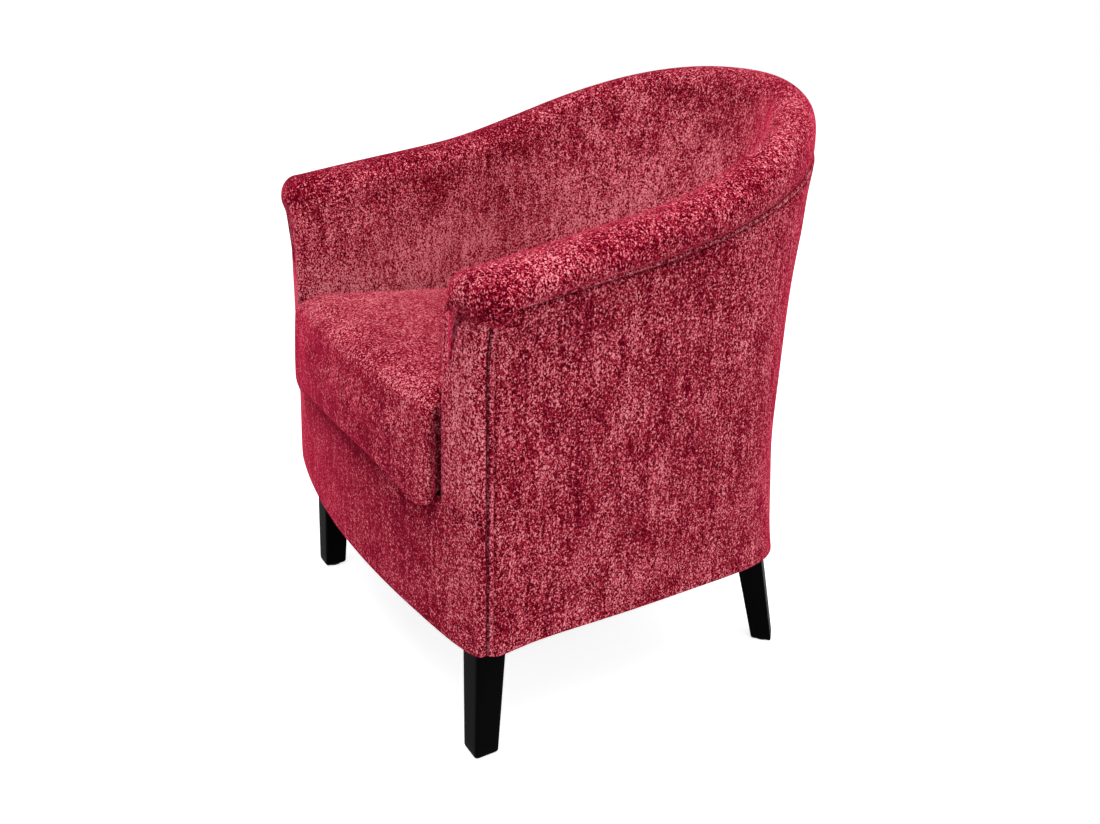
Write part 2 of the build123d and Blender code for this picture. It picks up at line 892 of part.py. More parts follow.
for name, solids in pairs.items():
    export(name + "_left", solids)
    export(name + "_right", [mirrored(solid) for solid in solids])
for name, solids in singles.items():
    export(name, solids)
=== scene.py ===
import json
import math

import bmesh
import bpy
import numpy as np
from mathutils import Matrix, Vector


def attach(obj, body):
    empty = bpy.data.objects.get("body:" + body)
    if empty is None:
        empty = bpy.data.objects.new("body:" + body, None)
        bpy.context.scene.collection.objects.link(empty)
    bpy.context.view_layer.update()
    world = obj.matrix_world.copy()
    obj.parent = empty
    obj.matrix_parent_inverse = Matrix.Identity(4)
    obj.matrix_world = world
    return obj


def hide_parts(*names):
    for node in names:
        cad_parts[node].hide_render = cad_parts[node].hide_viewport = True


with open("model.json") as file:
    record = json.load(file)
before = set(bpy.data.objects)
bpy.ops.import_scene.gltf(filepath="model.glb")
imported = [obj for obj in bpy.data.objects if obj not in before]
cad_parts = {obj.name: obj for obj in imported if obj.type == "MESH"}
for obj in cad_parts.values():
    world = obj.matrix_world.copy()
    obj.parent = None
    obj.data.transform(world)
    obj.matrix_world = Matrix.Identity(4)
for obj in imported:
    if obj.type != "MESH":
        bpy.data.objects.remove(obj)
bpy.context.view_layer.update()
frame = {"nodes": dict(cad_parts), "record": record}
scene = bpy.context.scene
print("frame loaded:", len(frame["nodes"]), "nodes")

# The chair's body in metres: the sizes and curves of the solids under it, with a seat that is wider in front
body = dict(
    hem=0.172, halfWidth=0.298, wallLean=0.019, armRun=0.289, baseReach=0.223, topReach=0.2995,
    rakePower=2.4, baseSquareness=4.2, topSquareness=2.45, roundPower=0.5, frontBow=0.036, overhang=0.010,
    armHeight=0.584, armSlope=0.171, rise=0.073, riseStart=0.216, riseEnd=0.658,
    rollFrontHalf=0.273, rollFanHalf=0.2575, rollReach=0.270, rollSquareness=2.135, rollTurns=721,
    rollFrontRadius=0.042, rollBackRadius=0.029, rollFrontLift=0.0305, rollBackLift=0.035,
    seamFrontDrop=0.0075, seamBackDrop=0.026, armFlare=0.014, flareHeight=0.080,
    padFoot=0.320, armSwell=0.005, armEase=2.5, seatLevel=0.465, seatReach=0.175, backRake=0.255,
    innerSquareness=2.3, borderTop=0.341, panelThickness=0.012, padOut=0.0324,
)
sides = dict(left=1.0, right=-1.0)
depth = body["frontBow"] + body["overhang"] + body["armRun"] + body["rollReach"] + body["rollBackRadius"]
frontY = body["frontBow"] + body["overhang"] - depth / 2
fanY = frontY + body["armRun"]
bowRadius = (body["halfWidth"] ** 2 + body["frontBow"] ** 2) / (2 * body["frontBow"])


def blend(low, high, share):  # a straight line from low to high
    return low + (high - low) * share


def smoothStep(share):  # 0 to 1 with level ends: 3t^2 - 2t^3
    share = np.clip(share, 0.0, 1.0)
    return share * share * (3 - 2 * share)


def fade(value, start, run):  # the smooth step from 0 at the start to 1 a run later
    return smoothStep((value - start) / run)


def bump(distance, width):  # a bell of height 1: exp(-(d/w)^2)
    return np.exp(-((distance / width) ** 2))


def swell(side, back, squareness, angle):  # radius of a rounded box: (|cos/side|^n + |sin/back|^n)^(-1/n)
    across = np.abs(np.cos(angle)) / side
    along = np.abs(np.sin(angle)) / back
    return (across**squareness + along**squareness) ** (-1 / squareness)


def rimHeight(run):  # arm slope plus a smooth rise round the back
    rise = fade(run, body["riseStart"], body["riseEnd"] - body["riseStart"])
    return body["armHeight"] + body["armSlope"] * run + body["rise"] * rise


def alongRoll(front, back, run):  # blends a front size to a back size along the roll
    return blend(front, back, np.clip(run, 0, None) / (body["armRun"] + body["rollReach"]))


def rollHalf(run):  # half the roll's width
    return alongRoll(body["rollFrontRadius"], body["rollBackRadius"], run)


def seamHeight(run):  # the seam under the roll lies a drop below the rim
    return rimHeight(run) - alongRoll(body["seamFrontDrop"], body["seamBackDrop"], run)


crestHeight = float(rimHeight(body["armRun"] + body["rollReach"]))
innerFrontHalf = body["rollFrontHalf"] - float(rollHalf(0.0))
innerFanHalf = body["rollFanHalf"] - float(rollHalf(body["armRun"]))
seatFrontHalf = innerFrontHalf - body["armSwell"]


def wallOut(angle, height):  # outside wall: a rounded box that grows and turns rounder as it climbs
    share = np.clip((height - body["hem"]) / (crestHeight - body["hem"]), 0.0, None)
    side = body["halfWidth"] - body["wallLean"] * share
    reach = blend(body["baseReach"], body["topReach"], share ** body["rakePower"])
    squareness = blend(body["baseSquareness"], body["topSquareness"], share ** body["roundPower"])
    return swell(side, reach, squareness, angle)


def frontLine(out):  # run of the bowed front, an arc of one radius
    return bowRadius - body["frontBow"] - np.sqrt(bowRadius**2 - out**2)


def fanRim(angle):  # the roll's middle line round the back, a rounded box
    return swell(body["rollFanHalf"], body["rollReach"], body["rollSquareness"], angle)


def lengthAlong(points):  # distance run along a line of points
    return np.concatenate([[0.0], np.cumsum(np.hypot(*np.diff(points, axis=0).T))])


# Stations round the tub: left arm from front to back, round the back, right arm from back to front.
# A run is the distance behind the front seams, an out the distance from the middle plane or the back's axis.
def tubStations(size, start):
    fine = np.arange(start, size["fineRun"], size["fineStep"])
    coarseSteps = int((body["armRun"] - size["fineRun"]) / size["armStep"])
    armRuns = np.concatenate([fine, np.linspace(size["fineRun"], body["armRun"], coarseSteps)])
    turns = np.linspace(0, math.pi, body["rollTurns"])
    length = lengthAlong(np.stack([fanRim(turns) * np.cos(turns), fanRim(turns) * np.sin(turns)], axis=-1))
    steps = int(round(length[-1] / size["fanStep"]))
    fan = np.interp(np.linspace(0, length[-1], steps + 1), length, turns)[1:-1]
    ones, zeros = np.ones(len(armRuns)), np.zeros(len(fan))
    angle = np.concatenate([0 * ones, fan, math.pi * ones])
    arm = np.concatenate([armRuns, zeros, armRuns[::-1]])
    isArm = np.concatenate([ones, zeros, ones]) > 0
    share = arm / body["armRun"]
    armRim = blend(innerFrontHalf, innerFanHalf, share) + rollHalf(arm)
    columns = dict(
        angle=angle, isArm=isArm, rim=np.where(isArm, armRim, fanRim(angle)),
        run=np.where(isArm, arm, body["armRun"] + fanRim(angle) * np.sin(angle)),
        flare=np.where(isArm, body["armFlare"] * (1 - share) ** 2, 0.0),
        armInner=blend(seatFrontHalf, innerFanHalf, share), axisY=np.where(isArm, frontY + arm, fanY),
    )
    return {name: column[:, None] for name, column in columns.items()}


def sideAngle(tub):  # angle round the back from the nearer arm
    return np.minimum(tub["angle"], math.pi - tub["angle"])


def innerOut(tub, height):  # inside face: straight along the arms, a raked rounded box round the back
    reach = body["seatReach"] + body["backRake"] * (height - body["seatLevel"])
    fan = swell(innerFanHalf, reach, body["innerSquareness"], tub["angle"])
    return np.where(tub["isArm"], tub["armInner"], fan)


def grid(x, y, z):  # x, y and z of all points in one array
    return np.stack(np.broadcast_arrays(x, y, z), axis=-1)


def place(tub, out, height, shift=0.0):  # out and height of each station's plane to x, y, z
    return grid(out * np.cos(tub["angle"]), tub["axisY"] + out * np.sin(tub["angle"]) + shift, height)


def bothEnds(end, rings):  # an end, the rings behind it and the end's mirror image
    return np.concatenate([end, rings, end[::-1] * np.array([-1.0, 1.0, 1.0])])


# Meshes from rings of points
weldGap = 1e-6


def addObject(name, data):  # an object of the scene that shows the data
    piece = bpy.data.objects.new(name, data)
    scene.collection.objects.link(piece)
    return piece


def addLayers(mesh, shape, **layers):  # values per point that a material reads
    for name, values in layers.items():
        values = np.ascontiguousarray(np.broadcast_to(np.asarray(values, dtype=np.float32), shape))
        mesh.attributes.new(name, "FLOAT", "POINT").data.foreach_set("value", values.reshape(-1))


def meshFrom(name, points, faces, **layers):  # one mesh of all the points, with its layers
    mesh = bpy.data.meshes.new(name)
    mesh.from_pydata(points.reshape(-1, 3).tolist(), [], faces)
    addLayers(mesh, points.shape[:-1], **layers)
    mesh.update()
    return mesh


def ringFaces(rows, columns):  # four-sided faces between neighbouring rings, each ring closed
    i = np.arange(rows - 1)[:, None] * columns
    j = np.arange(columns)[None, :]
    nextI, nextJ = i + columns, (j + 1) % columns
    return np.stack([i + j, i + nextJ, nextI + nextJ, nextI + j], axis=-1).reshape(-1, 4).tolist()


def sweptPiece(name, rings, **layers):  # closed rings joined in order, with a face over each end
    count, around = rings.shape[:2]
    first, last = list(range(around)), list(range((count - 1) * around, count * around))
    piece = addObject(name, meshFrom(name, rings, [*ringFaces(count, around), first, last[::-1]], **layers))
    work = bmesh.new()
    work.from_mesh(piece.data)
    bmesh.ops.remove_doubles(work, verts=work.verts, dist=weldGap)
    bmesh.ops.recalc_face_normals(work, faces=work.faces)
    work.to_mesh(piece.data)
    work.free()
    piece.data.shade_smooth()
    return piece


def dress(piece, rides, slotName, *replaced):  # the slot's finish, its body and the solids it replaces
    piece.data.materials.clear()
    piece.data.materials.append(finishes[slotName])
    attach(piece, rides)
    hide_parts(*replaced)


# Materials
def newMaterial(name):  # a material with its nodes and its shader
    material = bpy.data.materials.new(name)
    material.use_nodes = True
    tree = material.node_tree
    return material, tree, tree.nodes["Principled BSDF"]


def feed(tree, node, inputs):  # a socket is linked to its input, any other value is set there
    for key, value in inputs.items():
        if isinstance(value, bpy.types.NodeSocket):
            tree.links.new(value, node.inputs[key])
        else:
            node.inputs[key].default_value = value


def addNode(tree, kind, inputs, **settings):  # a node of one kind, set up and fed
    node = tree.nodes.new(kind)
    for key, value in settings.items():
        setattr(node, key, value)
    feed(tree, node, inputs)
    return node


def objectPoints(tree, stretch=(1, 1, 1)):  # places on the piece, each axis times its stretch
    where = addNode(tree, "ShaderNodeTexCoord", {}).outputs["Object"]
    return addNode(tree, "ShaderNodeMapping", {"Vector": where, "Scale": stretch}).outputs[0]


def noise(tree, points, size, detail=2.0, roughness=0.5, curl=0.0):  # size is the pattern's grain in metres
    inputs = dict(Vector=points, Scale=1 / size, Detail=detail, Roughness=roughness, Distortion=curl)
    return addNode(tree, "ShaderNodeTexNoise", inputs).outputs["Fac"]


def combine(tree, operation, first, second, clamp=False):  # a sum, difference or product of two values
    inputs = {0: first, 1: second}
    return addNode(tree, "ShaderNodeMath", inputs, operation=operation, use_clamp=clamp).outputs[0]


def ramp(tree, value, *stops):  # stops are (place, colour), with straight blends between them
    node = addNode(tree, "ShaderNodeValToRGB", {"Fac": value})
    elements = node.color_ramp.elements
    while len(elements) < len(stops):
        elements.new(0.5)
    for element, (position, color) in zip(elements, stops):
        element.position = position
        element.color = (*color, 1.0)
    return node.outputs["Color"]


def stretched(tree, value, low, high):  # 0 to 1 becomes low to high
    return addNode(tree, "ShaderNodeMapRange", {"Value": value, "To Min": low, "To Max": high}).outputs[0]


def relief(tree, height, strength, distance):  # small heights that only the shading shows
    inputs = {"Height": height, "Strength": strength, "Distance": distance}
    return addNode(tree, "ShaderNodeBump", inputs).outputs[0]


def pointLayer(tree, name):  # a value per point that the mesh carries
    return addNode(tree, "ShaderNodeAttribute", {}, attribute_name=name).outputs["Fac"]


# The cloth's stops run from dark over crimson and rose to pale; a near black colour is mixed in as painted
# shade
chenille = dict(
    fleckSize=0.0020, fleckDetail=1.0, fleckStretch=(1.0, 1.0, 0.8), curl=0.9,
    slubSize=0.0064, slubStretch=(1.0, 1.0, 0.08), slubShare=0.20, patchSize=0.016, patchShare=0.10,
    cloudSize=0.060, cloudDetail=3.0, cloudRoughness=0.55, cloudShare=0.19, noiseMiddle=0.5,
    stops=((0.413, (0.046, 0.0006, 0.0042)), (0.492, (0.270, 0.0032, 0.0175)),
           (0.567, (0.425, 0.030, 0.057)), (0.652, (0.740, 0.262, 0.302))),
    paintedShadeColour=(0.030, 0.0008, 0.0030), roughness=0.92, sheenWeight=0.65, sheenRoughness=0.4,
    sheenTint=(1.0, 0.04, 0.13), bumpStrength=0.7, bumpDepth=0.0009,
)


def chenilleCloth():  # flecks, clouds, patches and slubs of noise summed to a tone that the stops colour
    size = chenille
    material, tree, shader = newMaterial("crimsonChenille")
    plain = objectPoints(tree)
    dashes, threads = objectPoints(tree, size["fleckStretch"]), objectPoints(tree, size["slubStretch"])
    fleck = noise(tree, dashes, size["fleckSize"], size["fleckDetail"], curl=size["curl"])
    cloud = noise(tree, plain, size["cloudSize"], size["cloudDetail"], size["cloudRoughness"])
    patch = noise(tree, plain, size["patchSize"])
    slub = noise(tree, threads, size["slubSize"], size["fleckDetail"])
    tone = fleck
    for part, share in ((cloud, size["cloudShare"]), (patch, size["patchShare"]), (slub, size["slubShare"])):
        swing = combine(tree, "SUBTRACT", part, size["noiseMiddle"])
        tone = combine(tree, "ADD", tone, combine(tree, "MULTIPLY", swing, share))
    # the tone layer shifts the flecks: painted light and shade on some pieces, paler or darker cloth on
    # others
    tone = combine(tree, "ADD", tone, pointLayer(tree, "tone"))
    color = ramp(tree, tone, *size["stops"])
    # painted shade: a layer per point mixes the near black colour in over gaps, grooves and under overhangs
    mixed = {"Factor": pointLayer(tree, "crease"), "A": color, "B": (*size["paintedShadeColour"], 1.0)}
    feed(tree, shader, {
        "Base Color": addNode(tree, "ShaderNodeMix", mixed, data_type="RGBA").outputs["Result"],
        "Roughness": size["roughness"], "Specular IOR Level": 0.0, "Sheen Weight": size["sheenWeight"],
        "Sheen Roughness": size["sheenRoughness"], "Sheen Tint": (*size["sheenTint"], 1.0),
        "Normal": relief(tree, fleck, size["bumpStrength"], size["bumpDepth"]),
    })
    return material


woven = dict(
    waves=0.31, wobble=0.6, grainPitches=9, grainDetail=3.0, grainShare=0.5, darkStop=0.2, lightStop=1.0,
    roughness=0.9, bumpStrength=0.5, bumpPitches=0.4,
)


def wovenCloth(name, dark, light, pitch):  # plain weave: the product of two crossed waves, plus some noise
    size = woven
    material, tree, shader = newMaterial(name)
    points = objectPoints(tree)
    wave = {"Vector": points, "Scale": size["waves"] / pitch, "Distortion": size["wobble"]}
    threads = [addNode(tree, "ShaderNodeTexWave", wave, bands_direction=axis).outputs["Fac"] for axis in "XY"]
    weave = combine(tree, "MULTIPLY", *threads)
    grain = noise(tree, points, pitch * size["grainPitches"], size["grainDetail"])
    tone = combine(tree, "ADD", weave, combine(tree, "MULTIPLY", grain, size["grainShare"]))
    feed(tree, shader, {
        "Base Color": ramp(tree, tone, (size["darkStop"], dark), (size["lightStop"], light)),
        "Roughness": size["roughness"],
        "Normal": relief(tree, weave, size["bumpStrength"], pitch * size["bumpPitches"]),
    })
    return material


wood = dict(
    stretch=(1.0, 1.0, 0.09), fibreDetail=4.0, fibreRoughness=0.6, fibreShare=0.6, figureGrains=9,
    figureShare=0.4, darkStop=0.3, lightStop=0.7, spread=0.06, bumpStrength=0.25, bumpDepth=0.0002,
)


def timber(name, dark, light, grainSize, roughness, bending=1.45):
    # fine fibres and a slower figure, summed; bending is the lacquer's index
    size = wood
    material, tree, shader = newMaterial(name)
    points = objectPoints(tree, size["stretch"])
    fibre = noise(tree, points, grainSize, size["fibreDetail"], size["fibreRoughness"])
    figure = noise(tree, points, grainSize * size["figureGrains"])
    tone = combine(tree, "ADD", combine(tree, "MULTIPLY", fibre, size["fibreShare"]),
                   combine(tree, "MULTIPLY", figure, size["figureShare"]))
    feed(tree, shader, {
        "Base Color": ramp(tree, tone, (size["darkStop"], dark), (size["lightStop"], light)),
        "Roughness": stretched(tree, fibre, roughness - size["spread"], roughness + size["spread"]),
        "IOR": bending, "Normal": relief(tree, fibre, size["bumpStrength"], size["bumpDepth"]),
    })
    return material


speckled = dict(detail=3.0, roughness=0.6, darkStop=0.35, lightStop=0.65, spread=0.08, bumpStrength=0.3)


def plainFinish(name, dark, light, grainSize, roughness, metallic=0.0, bumpDepth=0.0001):
    # one speckle of noise sets the colour, the roughness and the relief
    size = speckled
    material, tree, shader = newMaterial(name)
    speckle = noise(tree, objectPoints(tree), grainSize, size["detail"], size["roughness"])
    feed(tree, shader, {
        "Base Color": ramp(tree, speckle, (size["darkStop"], dark), (size["lightStop"], light)),
        "Roughness": stretched(tree, speckle, roughness - size["spread"], roughness + size["spread"]),
        "Metallic": metallic, "Normal": relief(tree, speckle, size["bumpStrength"], bumpDepth),
    })
    return material


finishes = dict(
    chenille=chenilleCloth(),
    foam=plainFinish("creamFoam", (0.70, 0.63, 0.46), (0.86, 0.80, 0.64), grainSize=0.002, roughness=0.9,
                     bumpDepth=0.0006),
    black_wood=timber("blackLacquer", (0.0010, 0.0009, 0.0009), (0.0020, 0.0018, 0.0018), grainSize=0.0016,
                      roughness=0.45, bending=1.05),
    frame_timber=timber("sawnBeech", (0.46, 0.31, 0.17), (0.68, 0.51, 0.32), grainSize=0.0022, roughness=0.7),
    zinc_steel=plainFinish("zincPlate", (0.42, 0.43, 0.45), (0.62, 0.63, 0.65), grainSize=0.003,
                           roughness=0.38, metallic=1.0),
    webbing=wovenCloth("juteWebbing", (0.16, 0.10, 0.05), (0.46, 0.35, 0.21), pitch=0.0024),
    lining_cloth=wovenCloth("blackLining", (0.006, 0.006, 0.007), (0.030, 0.030, 0.032), pitch=0.0014),
    nylon=plainFinish("blackNylon", (0.010, 0.010, 0.010), (0.024, 0.024, 0.024), grainSize=0.004,
                      roughness=0.5),
)
slotOf = {part["node"]: part["material_slot"] for part in frame["record"]["subparts"]}
for node, obj in frame["nodes"].items():
    obj.data.materials.clear()
    obj.data.materials.append(finishes[slotOf[node]])
print("finishes:", len(finishes))

# Inside lining and rim roll, one padded body round the tub
lining = dict(
    armStep=0.006, fineStep=0.002, fineRun=0.030, fanStep=0.006, faceSteps=46, rollSteps=34, tuckSteps=14,
    backSteps=22, footSteps=4, noseRings=16, noseStart=0.006, noseReach=0.025, noseTip=0.08, noseLift=0.003,
    padReach=0.011, bowRun=0.034, spineFoot=0.548, spineRise=0.036, spineDrop=0.030, spineFade=0.028,
    hang=0.017, hangRun=0.018, hangOut=0.012, seamDrop=0.002, tuckIn=0.005, backTuck=0.8, crown=0.002,
    lumbar=0.007, lumbarHeight=0.585, lumbarSpread=0.06, lumbarPower=3, seamAngle=math.radians(25),
    seamDepth=0.0022, seamWidth=0.004, puff=0.35, puffWidths=3.5,
    wave=0.0007, waves=(0.23, 0.9, 0.19, 0.31, 0.4), tuckShade=0.8, noseShade=0.5, shadePower=3,
    seatPaintedLight=0.13, insidePaintedLight=0.022, rollTone=-0.012, tonePower=6, noseTone=-0.04, padTone=0.012,
    farPaintedShade=-0.055,
)


def liningSection(tub):  # out and height of each station's closed outline
    size = lining
    run, rim = tub["run"], tub["rim"]
    half = rollHalf(run)
    lift = alongRoll(body["rollFrontLift"], body["rollBackLift"], run)
    # at the front the roll hangs down over the facing, and round the back it lies close on the cover
    hang = np.where(tub["isArm"], 1 - fade(run, size["noseStart"], size["hangRun"]), 0.0)
    middle = rimHeight(run)
    seam = seamHeight(run) - size["hang"] * hang - size["seamDrop"]
    tuckIn = size["tuckIn"] * (1 - size["backTuck"] * np.sin(tub["angle"]) ** 2)
    coverOut = wallOut(tub["angle"], seamHeight(run)) + tub["flare"] - tuckIn
    seamOut = blend(coverOut, rim + size["hangOut"], hang)
    # inside face: a straight rake from foot to roll, with a small crown; the arms swell in at the seat
    up = np.linspace(0, 1, size["faceSteps"], endpoint=False)[None, :]
    faceHeight = blend(body["padFoot"], middle, up)
    ease = np.where(tub["isArm"], up ** body["armEase"], up)
    faceOut = blend(innerOut(tub, body["padFoot"]), rim - half, ease) - size["crown"] * 4 * up * (1 - up)
    lumbar = bump(faceHeight - size["lumbarHeight"], size["lumbarSpread"])
    lumbar = lumbar * np.clip(np.sin(tub["angle"]), 0, 1) ** size["lumbarPower"]
    faceOut = faceOut - size["lumbar"] * lumbar
    # roll: half an ellipse from inside over the top to outside
    turn = np.linspace(math.pi, 0, size["rollSteps"], endpoint=False)[None, :]
    rollOut, rollHeight = rim + half * np.cos(turn), middle + lift * np.sin(turn)
    # tuck: a quarter ellipse from the roll's widest point in to the seam
    turn = np.linspace(0, math.pi / 2, size["tuckSteps"], endpoint=False)[None, :]
    tuckOut = seamOut + (rim + half - seamOut) * np.cos(turn)
    tuckHeight = middle - (middle - seam) * np.sin(turn)
    # hidden back of the padding, down behind the frame line from half way to the seam, and its foot
    down = np.linspace(0, 1, size["backSteps"])[None, :]
    backHeight = blend(seam, body["padFoot"], down)
    backOut = wallOut(tub["angle"], backHeight) - body["padOut"]
    backOut = np.where(down == 0, blend(seamOut, backOut, 0.5), backOut)
    foot = np.linspace(0, 1, size["footSteps"], endpoint=False)[None, 1:]
    footOut = blend(backOut[:, -1:], innerOut(tub, body["padFoot"]), foot)
    footHeight = np.full_like(footOut, body["padFoot"])
    return (
        np.concatenate([faceOut, rollOut, tuckOut, backOut, footOut], axis=1),
        np.concatenate([faceHeight, rollHeight, tuckHeight, backHeight, footHeight], axis=1),
    )


def liningNose(tub, out, low, rolled):
    # the first section drawn in towards its spine while it moves forward, as a quarter ellipse
    size = lining
    spineShare = fade(low, size["spineFoot"], size["spineRise"])
    spineShare[size["faceSteps"] : rolled] = 1.0
    spineShare[rolled:] = fade(low[rolled:], low[rolled] - size["spineDrop"], size["spineFade"])
    padMiddle = (innerFrontHalf + wallOut(0.0, low) - body["padOut"]) / 2
    spineOut = blend(padMiddle, tub["rim"][0], spineShare)
    spineHeight = blend(low, rimHeight(0.0) + size["noseLift"], spineShare)
    turn = np.linspace(0, math.acos(size["noseTip"]), size["noseRings"])[1:, None]
    # below the roll the padding runs straight on to the facing
    noseOut = spineOut + (out - spineOut) * blend(1.0, np.cos(turn), spineShare)
    noseHeight = spineHeight + (low - spineHeight) * np.cos(turn)
    reach = blend(size["padReach"], size["noseReach"], spineShare)
    noseY = frontY + size["noseStart"] + frontLine(noseOut) - frontLine(tub["rim"][0]) - reach * np.sin(turn)
    return grid(noseOut, noseY, noseHeight)[::-1], spineShare


def makeLining():  # the sections with seams and waves, and a nose at each end
    size = lining
    tub = tubStations(size, size["noseStart"])
    out, height = liningSection(tub)
    faces = size["faceSteps"]
    rolled = faces + size["rollSteps"] + size["tuckSteps"]
    # each sewn seam between arm and back draws the inside face in along a groove that ends on top of the roll
    away = (sideAngle(tub) - size["seamAngle"]) * tub["rim"]
    puffs = size["puff"] * bump(away, size["seamWidth"] * size["puffWidths"])
    seamLine = bump(away, size["seamWidth"]) - puffs
    inside = np.zeros(out.shape[1])
    inside[: faces + size["rollSteps"] // 2] = 1.0
    out = out + size["seamDepth"] * seamLine * inside[None, :]
    # slow unevenness of hand stuffed padding
    along, across = np.arange(out.shape[0])[:, None], np.arange(out.shape[1])[None, :]
    pace, sway, swayPace, acrossPace, start = size["waves"]
    wave = size["wave"] * np.sin(along * pace + sway * np.sin(across * swayPace))
    out = out + wave * np.sin(across * acrossPace + start)
    # the arms' front ends slant with the bowed front
    slant = np.where(tub["isArm"], 1 - fade(tub["run"], size["noseStart"], size["bowRun"]), 0.0)
    bow = frontLine(np.where(tub["isArm"], out, 0.0)) - frontLine(tub["rim"][0])
    rings = place(tub, out, height, slant * bow)
    nose, spineShare = liningNose(tub, out[0], height[0], rolled)
    # painted shade: darker in the tuck towards the seam, and on the nose where it turns under on to the
    # facing
    tuckShare = np.zeros(out.shape[1])
    tuckStart = rolled - size["tuckSteps"]
    tuckShare[tuckStart:rolled] = np.linspace(0, 1, size["tuckSteps"]) ** size["shadePower"]
    tuckShare[rolled:] = 1.0
    crease = np.broadcast_to(tuckShare * size["tuckShade"], out.shape)
    nosePaintedShade = np.broadcast_to(tuckShare * size["noseShade"], nose.shape[:2])
    # painted light low on the inside, fading up to a darker roll; painted shade on the far arm's roll; the
    # nose runs from the pad's tone to a darker one
    tone = np.full(out.shape[1], size["rollTone"])
    up = np.linspace(0, 1, faces)
    insidePaintedLight = blend(size["seatPaintedLight"], size["insidePaintedLight"], up)
    tone[:faces] = blend(insidePaintedLight, size["rollTone"], up ** size["tonePower"])
    rollShare = np.zeros(out.shape[1])
    rollShare[faces:rolled] = np.sin(np.linspace(0, math.pi, rolled - faces))
    tone = tone + size["farPaintedShade"] * rollShare * np.clip(-np.cos(tub["angle"]), 0, 1)
    noseTone = np.broadcast_to(blend(size["padTone"], size["noseTone"], spineShare), nose.shape[:2])
    crease = np.concatenate([nosePaintedShade, crease, nosePaintedShade])
    tone = np.concatenate([noseTone, tone, noseTone])
    return sweptPiece("insideLining", bothEnds(nose, rings), crease=crease, tone=tone)


insideLining = makeLining()
dress(insideLining, "chair", "chenille", "arm_roll_left", "arm_roll_right", "back_roll",
      "inside_arm_left", "inside_arm_right", "inside_back")
print("lining:", len(insideLining.data.polygons), "faces")

# Outside cover, one stretched shell round the tub with a turned hem and stitched edges
outside = dict(
    fineStep=0.001, fineRun=0.018, armStep=0.006, fanStep=0.006, faceSteps=60, fineTop=22, fineDrop=0.016,
    backSteps=24, hemSteps=6, endRings=5, thickness=0.0035, topDrop=0.0004, hemRound=0.005, frontEdge=0.0070,
    ridge=0.0020, ridgeWidth=0.0075, groove=0.0024, grooveWidth=0.0018, stitchBand=0.02, backFlat=0.7,
    topTurn=0.0035, turnRun=0.008, turnShares=(0.4, 0.85), turnRises=(0.0006, 0.0),
    backFoot=0.004, backDrop=0.003, backGap=0.0008, lipReach=0.024, lipThickness=0.0022, lipRise=0.0008,
    lipShares=(0.3, 0.65, 1.0), endRound=0.0012, endTurn=0.93, endDepth=0.9, endShade=0.2,
    hemDip=0.006, dipRun=0.018, sideDip=0.0030, sideDipRun=0.20, sideDipSpread=0.12,
    rearDip=0.009, rearAngle=math.radians(43), rearSpread=math.radians(15),
    hollow=0.0055, hollowHeight=0.37, hollowSpread=0.075, bends=(0.0, 0.12, 0.35, 0.68, 1.0),
    wave=0.0011, waves=(38, 3, 9, 17, 6), calmRun=0.05, shadeWidths=0.8, topShade=0.55, topShadeWidth=0.0022,
    backShade=0.45, frontShade=0.22, frontShadeWidth=0.0008, tone=-0.006, ridgeTone=0.055, frontRidge=0.6,
)


def foldedRidge(distance):  # 1 along the middle of the fold beside an edge, 0 at its sides
    half = outside["ridgeWidth"] / 2
    return np.clip(1 - ((distance - half) / half) ** 2, 0, 1)


def stitchedEdge(distance):  # folded ridge beside an edge, then the groove of the stitch line
    groove = outside["groove"] * bump(distance - outside["ridgeWidth"], outside["grooveWidth"])
    return np.where(distance < outside["stitchBand"], outside["ridge"] * foldedRidge(distance) - groove, 0.0)


def paintedEdgeShade(distance, width, shade):  # painted shade: dark at the edge itself, lighter in the stitch groove
    groove = bump(distance - outside["ridgeWidth"], outside["grooveWidth"] * outside["shadeWidths"])
    return np.clip(bump(distance, width) + shade * groove, 0, 1)


def cornerDip(distance, depth, peak):  # t e^(1-t): none at the corner, deepest at the peak, then fading
    share = np.clip(distance, 0, None) / peak
    return depth * share * np.exp(1 - share)


def outsideFace(tub, height, top):
    # one smooth curve through five levels of the wall up to the neck, then out under the roll as a square
    neck = top - body["flareHeight"]
    levels = [blend(body["hem"], neck, share) for share in outside["bends"]]
    low = 0.0
    for index, level in enumerate(levels):
        term = wallOut(tub["angle"], level)
        for other in levels[:index] + levels[index + 1 :]:
            term = term * (height - other) / (level - other)
        low = low + term
    share = np.clip((height - neck) / body["flareHeight"], 0, None)
    # the cloth is drawn in a little where the back turns up from its upright foot
    hollow = outside["hollow"] * bump(height - outside["hollowHeight"], outside["hollowSpread"])
    hollow = hollow * np.abs(np.sin(tub["angle"]))
    return np.where(height < neck, low, wallOut(tub["angle"], height)) + tub["flare"] * share**2 - hollow


def coverHem(tub, frontGap):  # the hem, lower at the front corners, along the arms and at the rear
    size = outside
    hem = body["hem"] - cornerDip(frontGap, size["hemDip"], size["dipRun"])
    hem = hem - size["sideDip"] * bump(tub["run"] - size["sideDipRun"], size["sideDipSpread"])
    return hem - size["rearDip"] * bump(sideAngle(tub) - size["rearAngle"], size["rearSpread"])


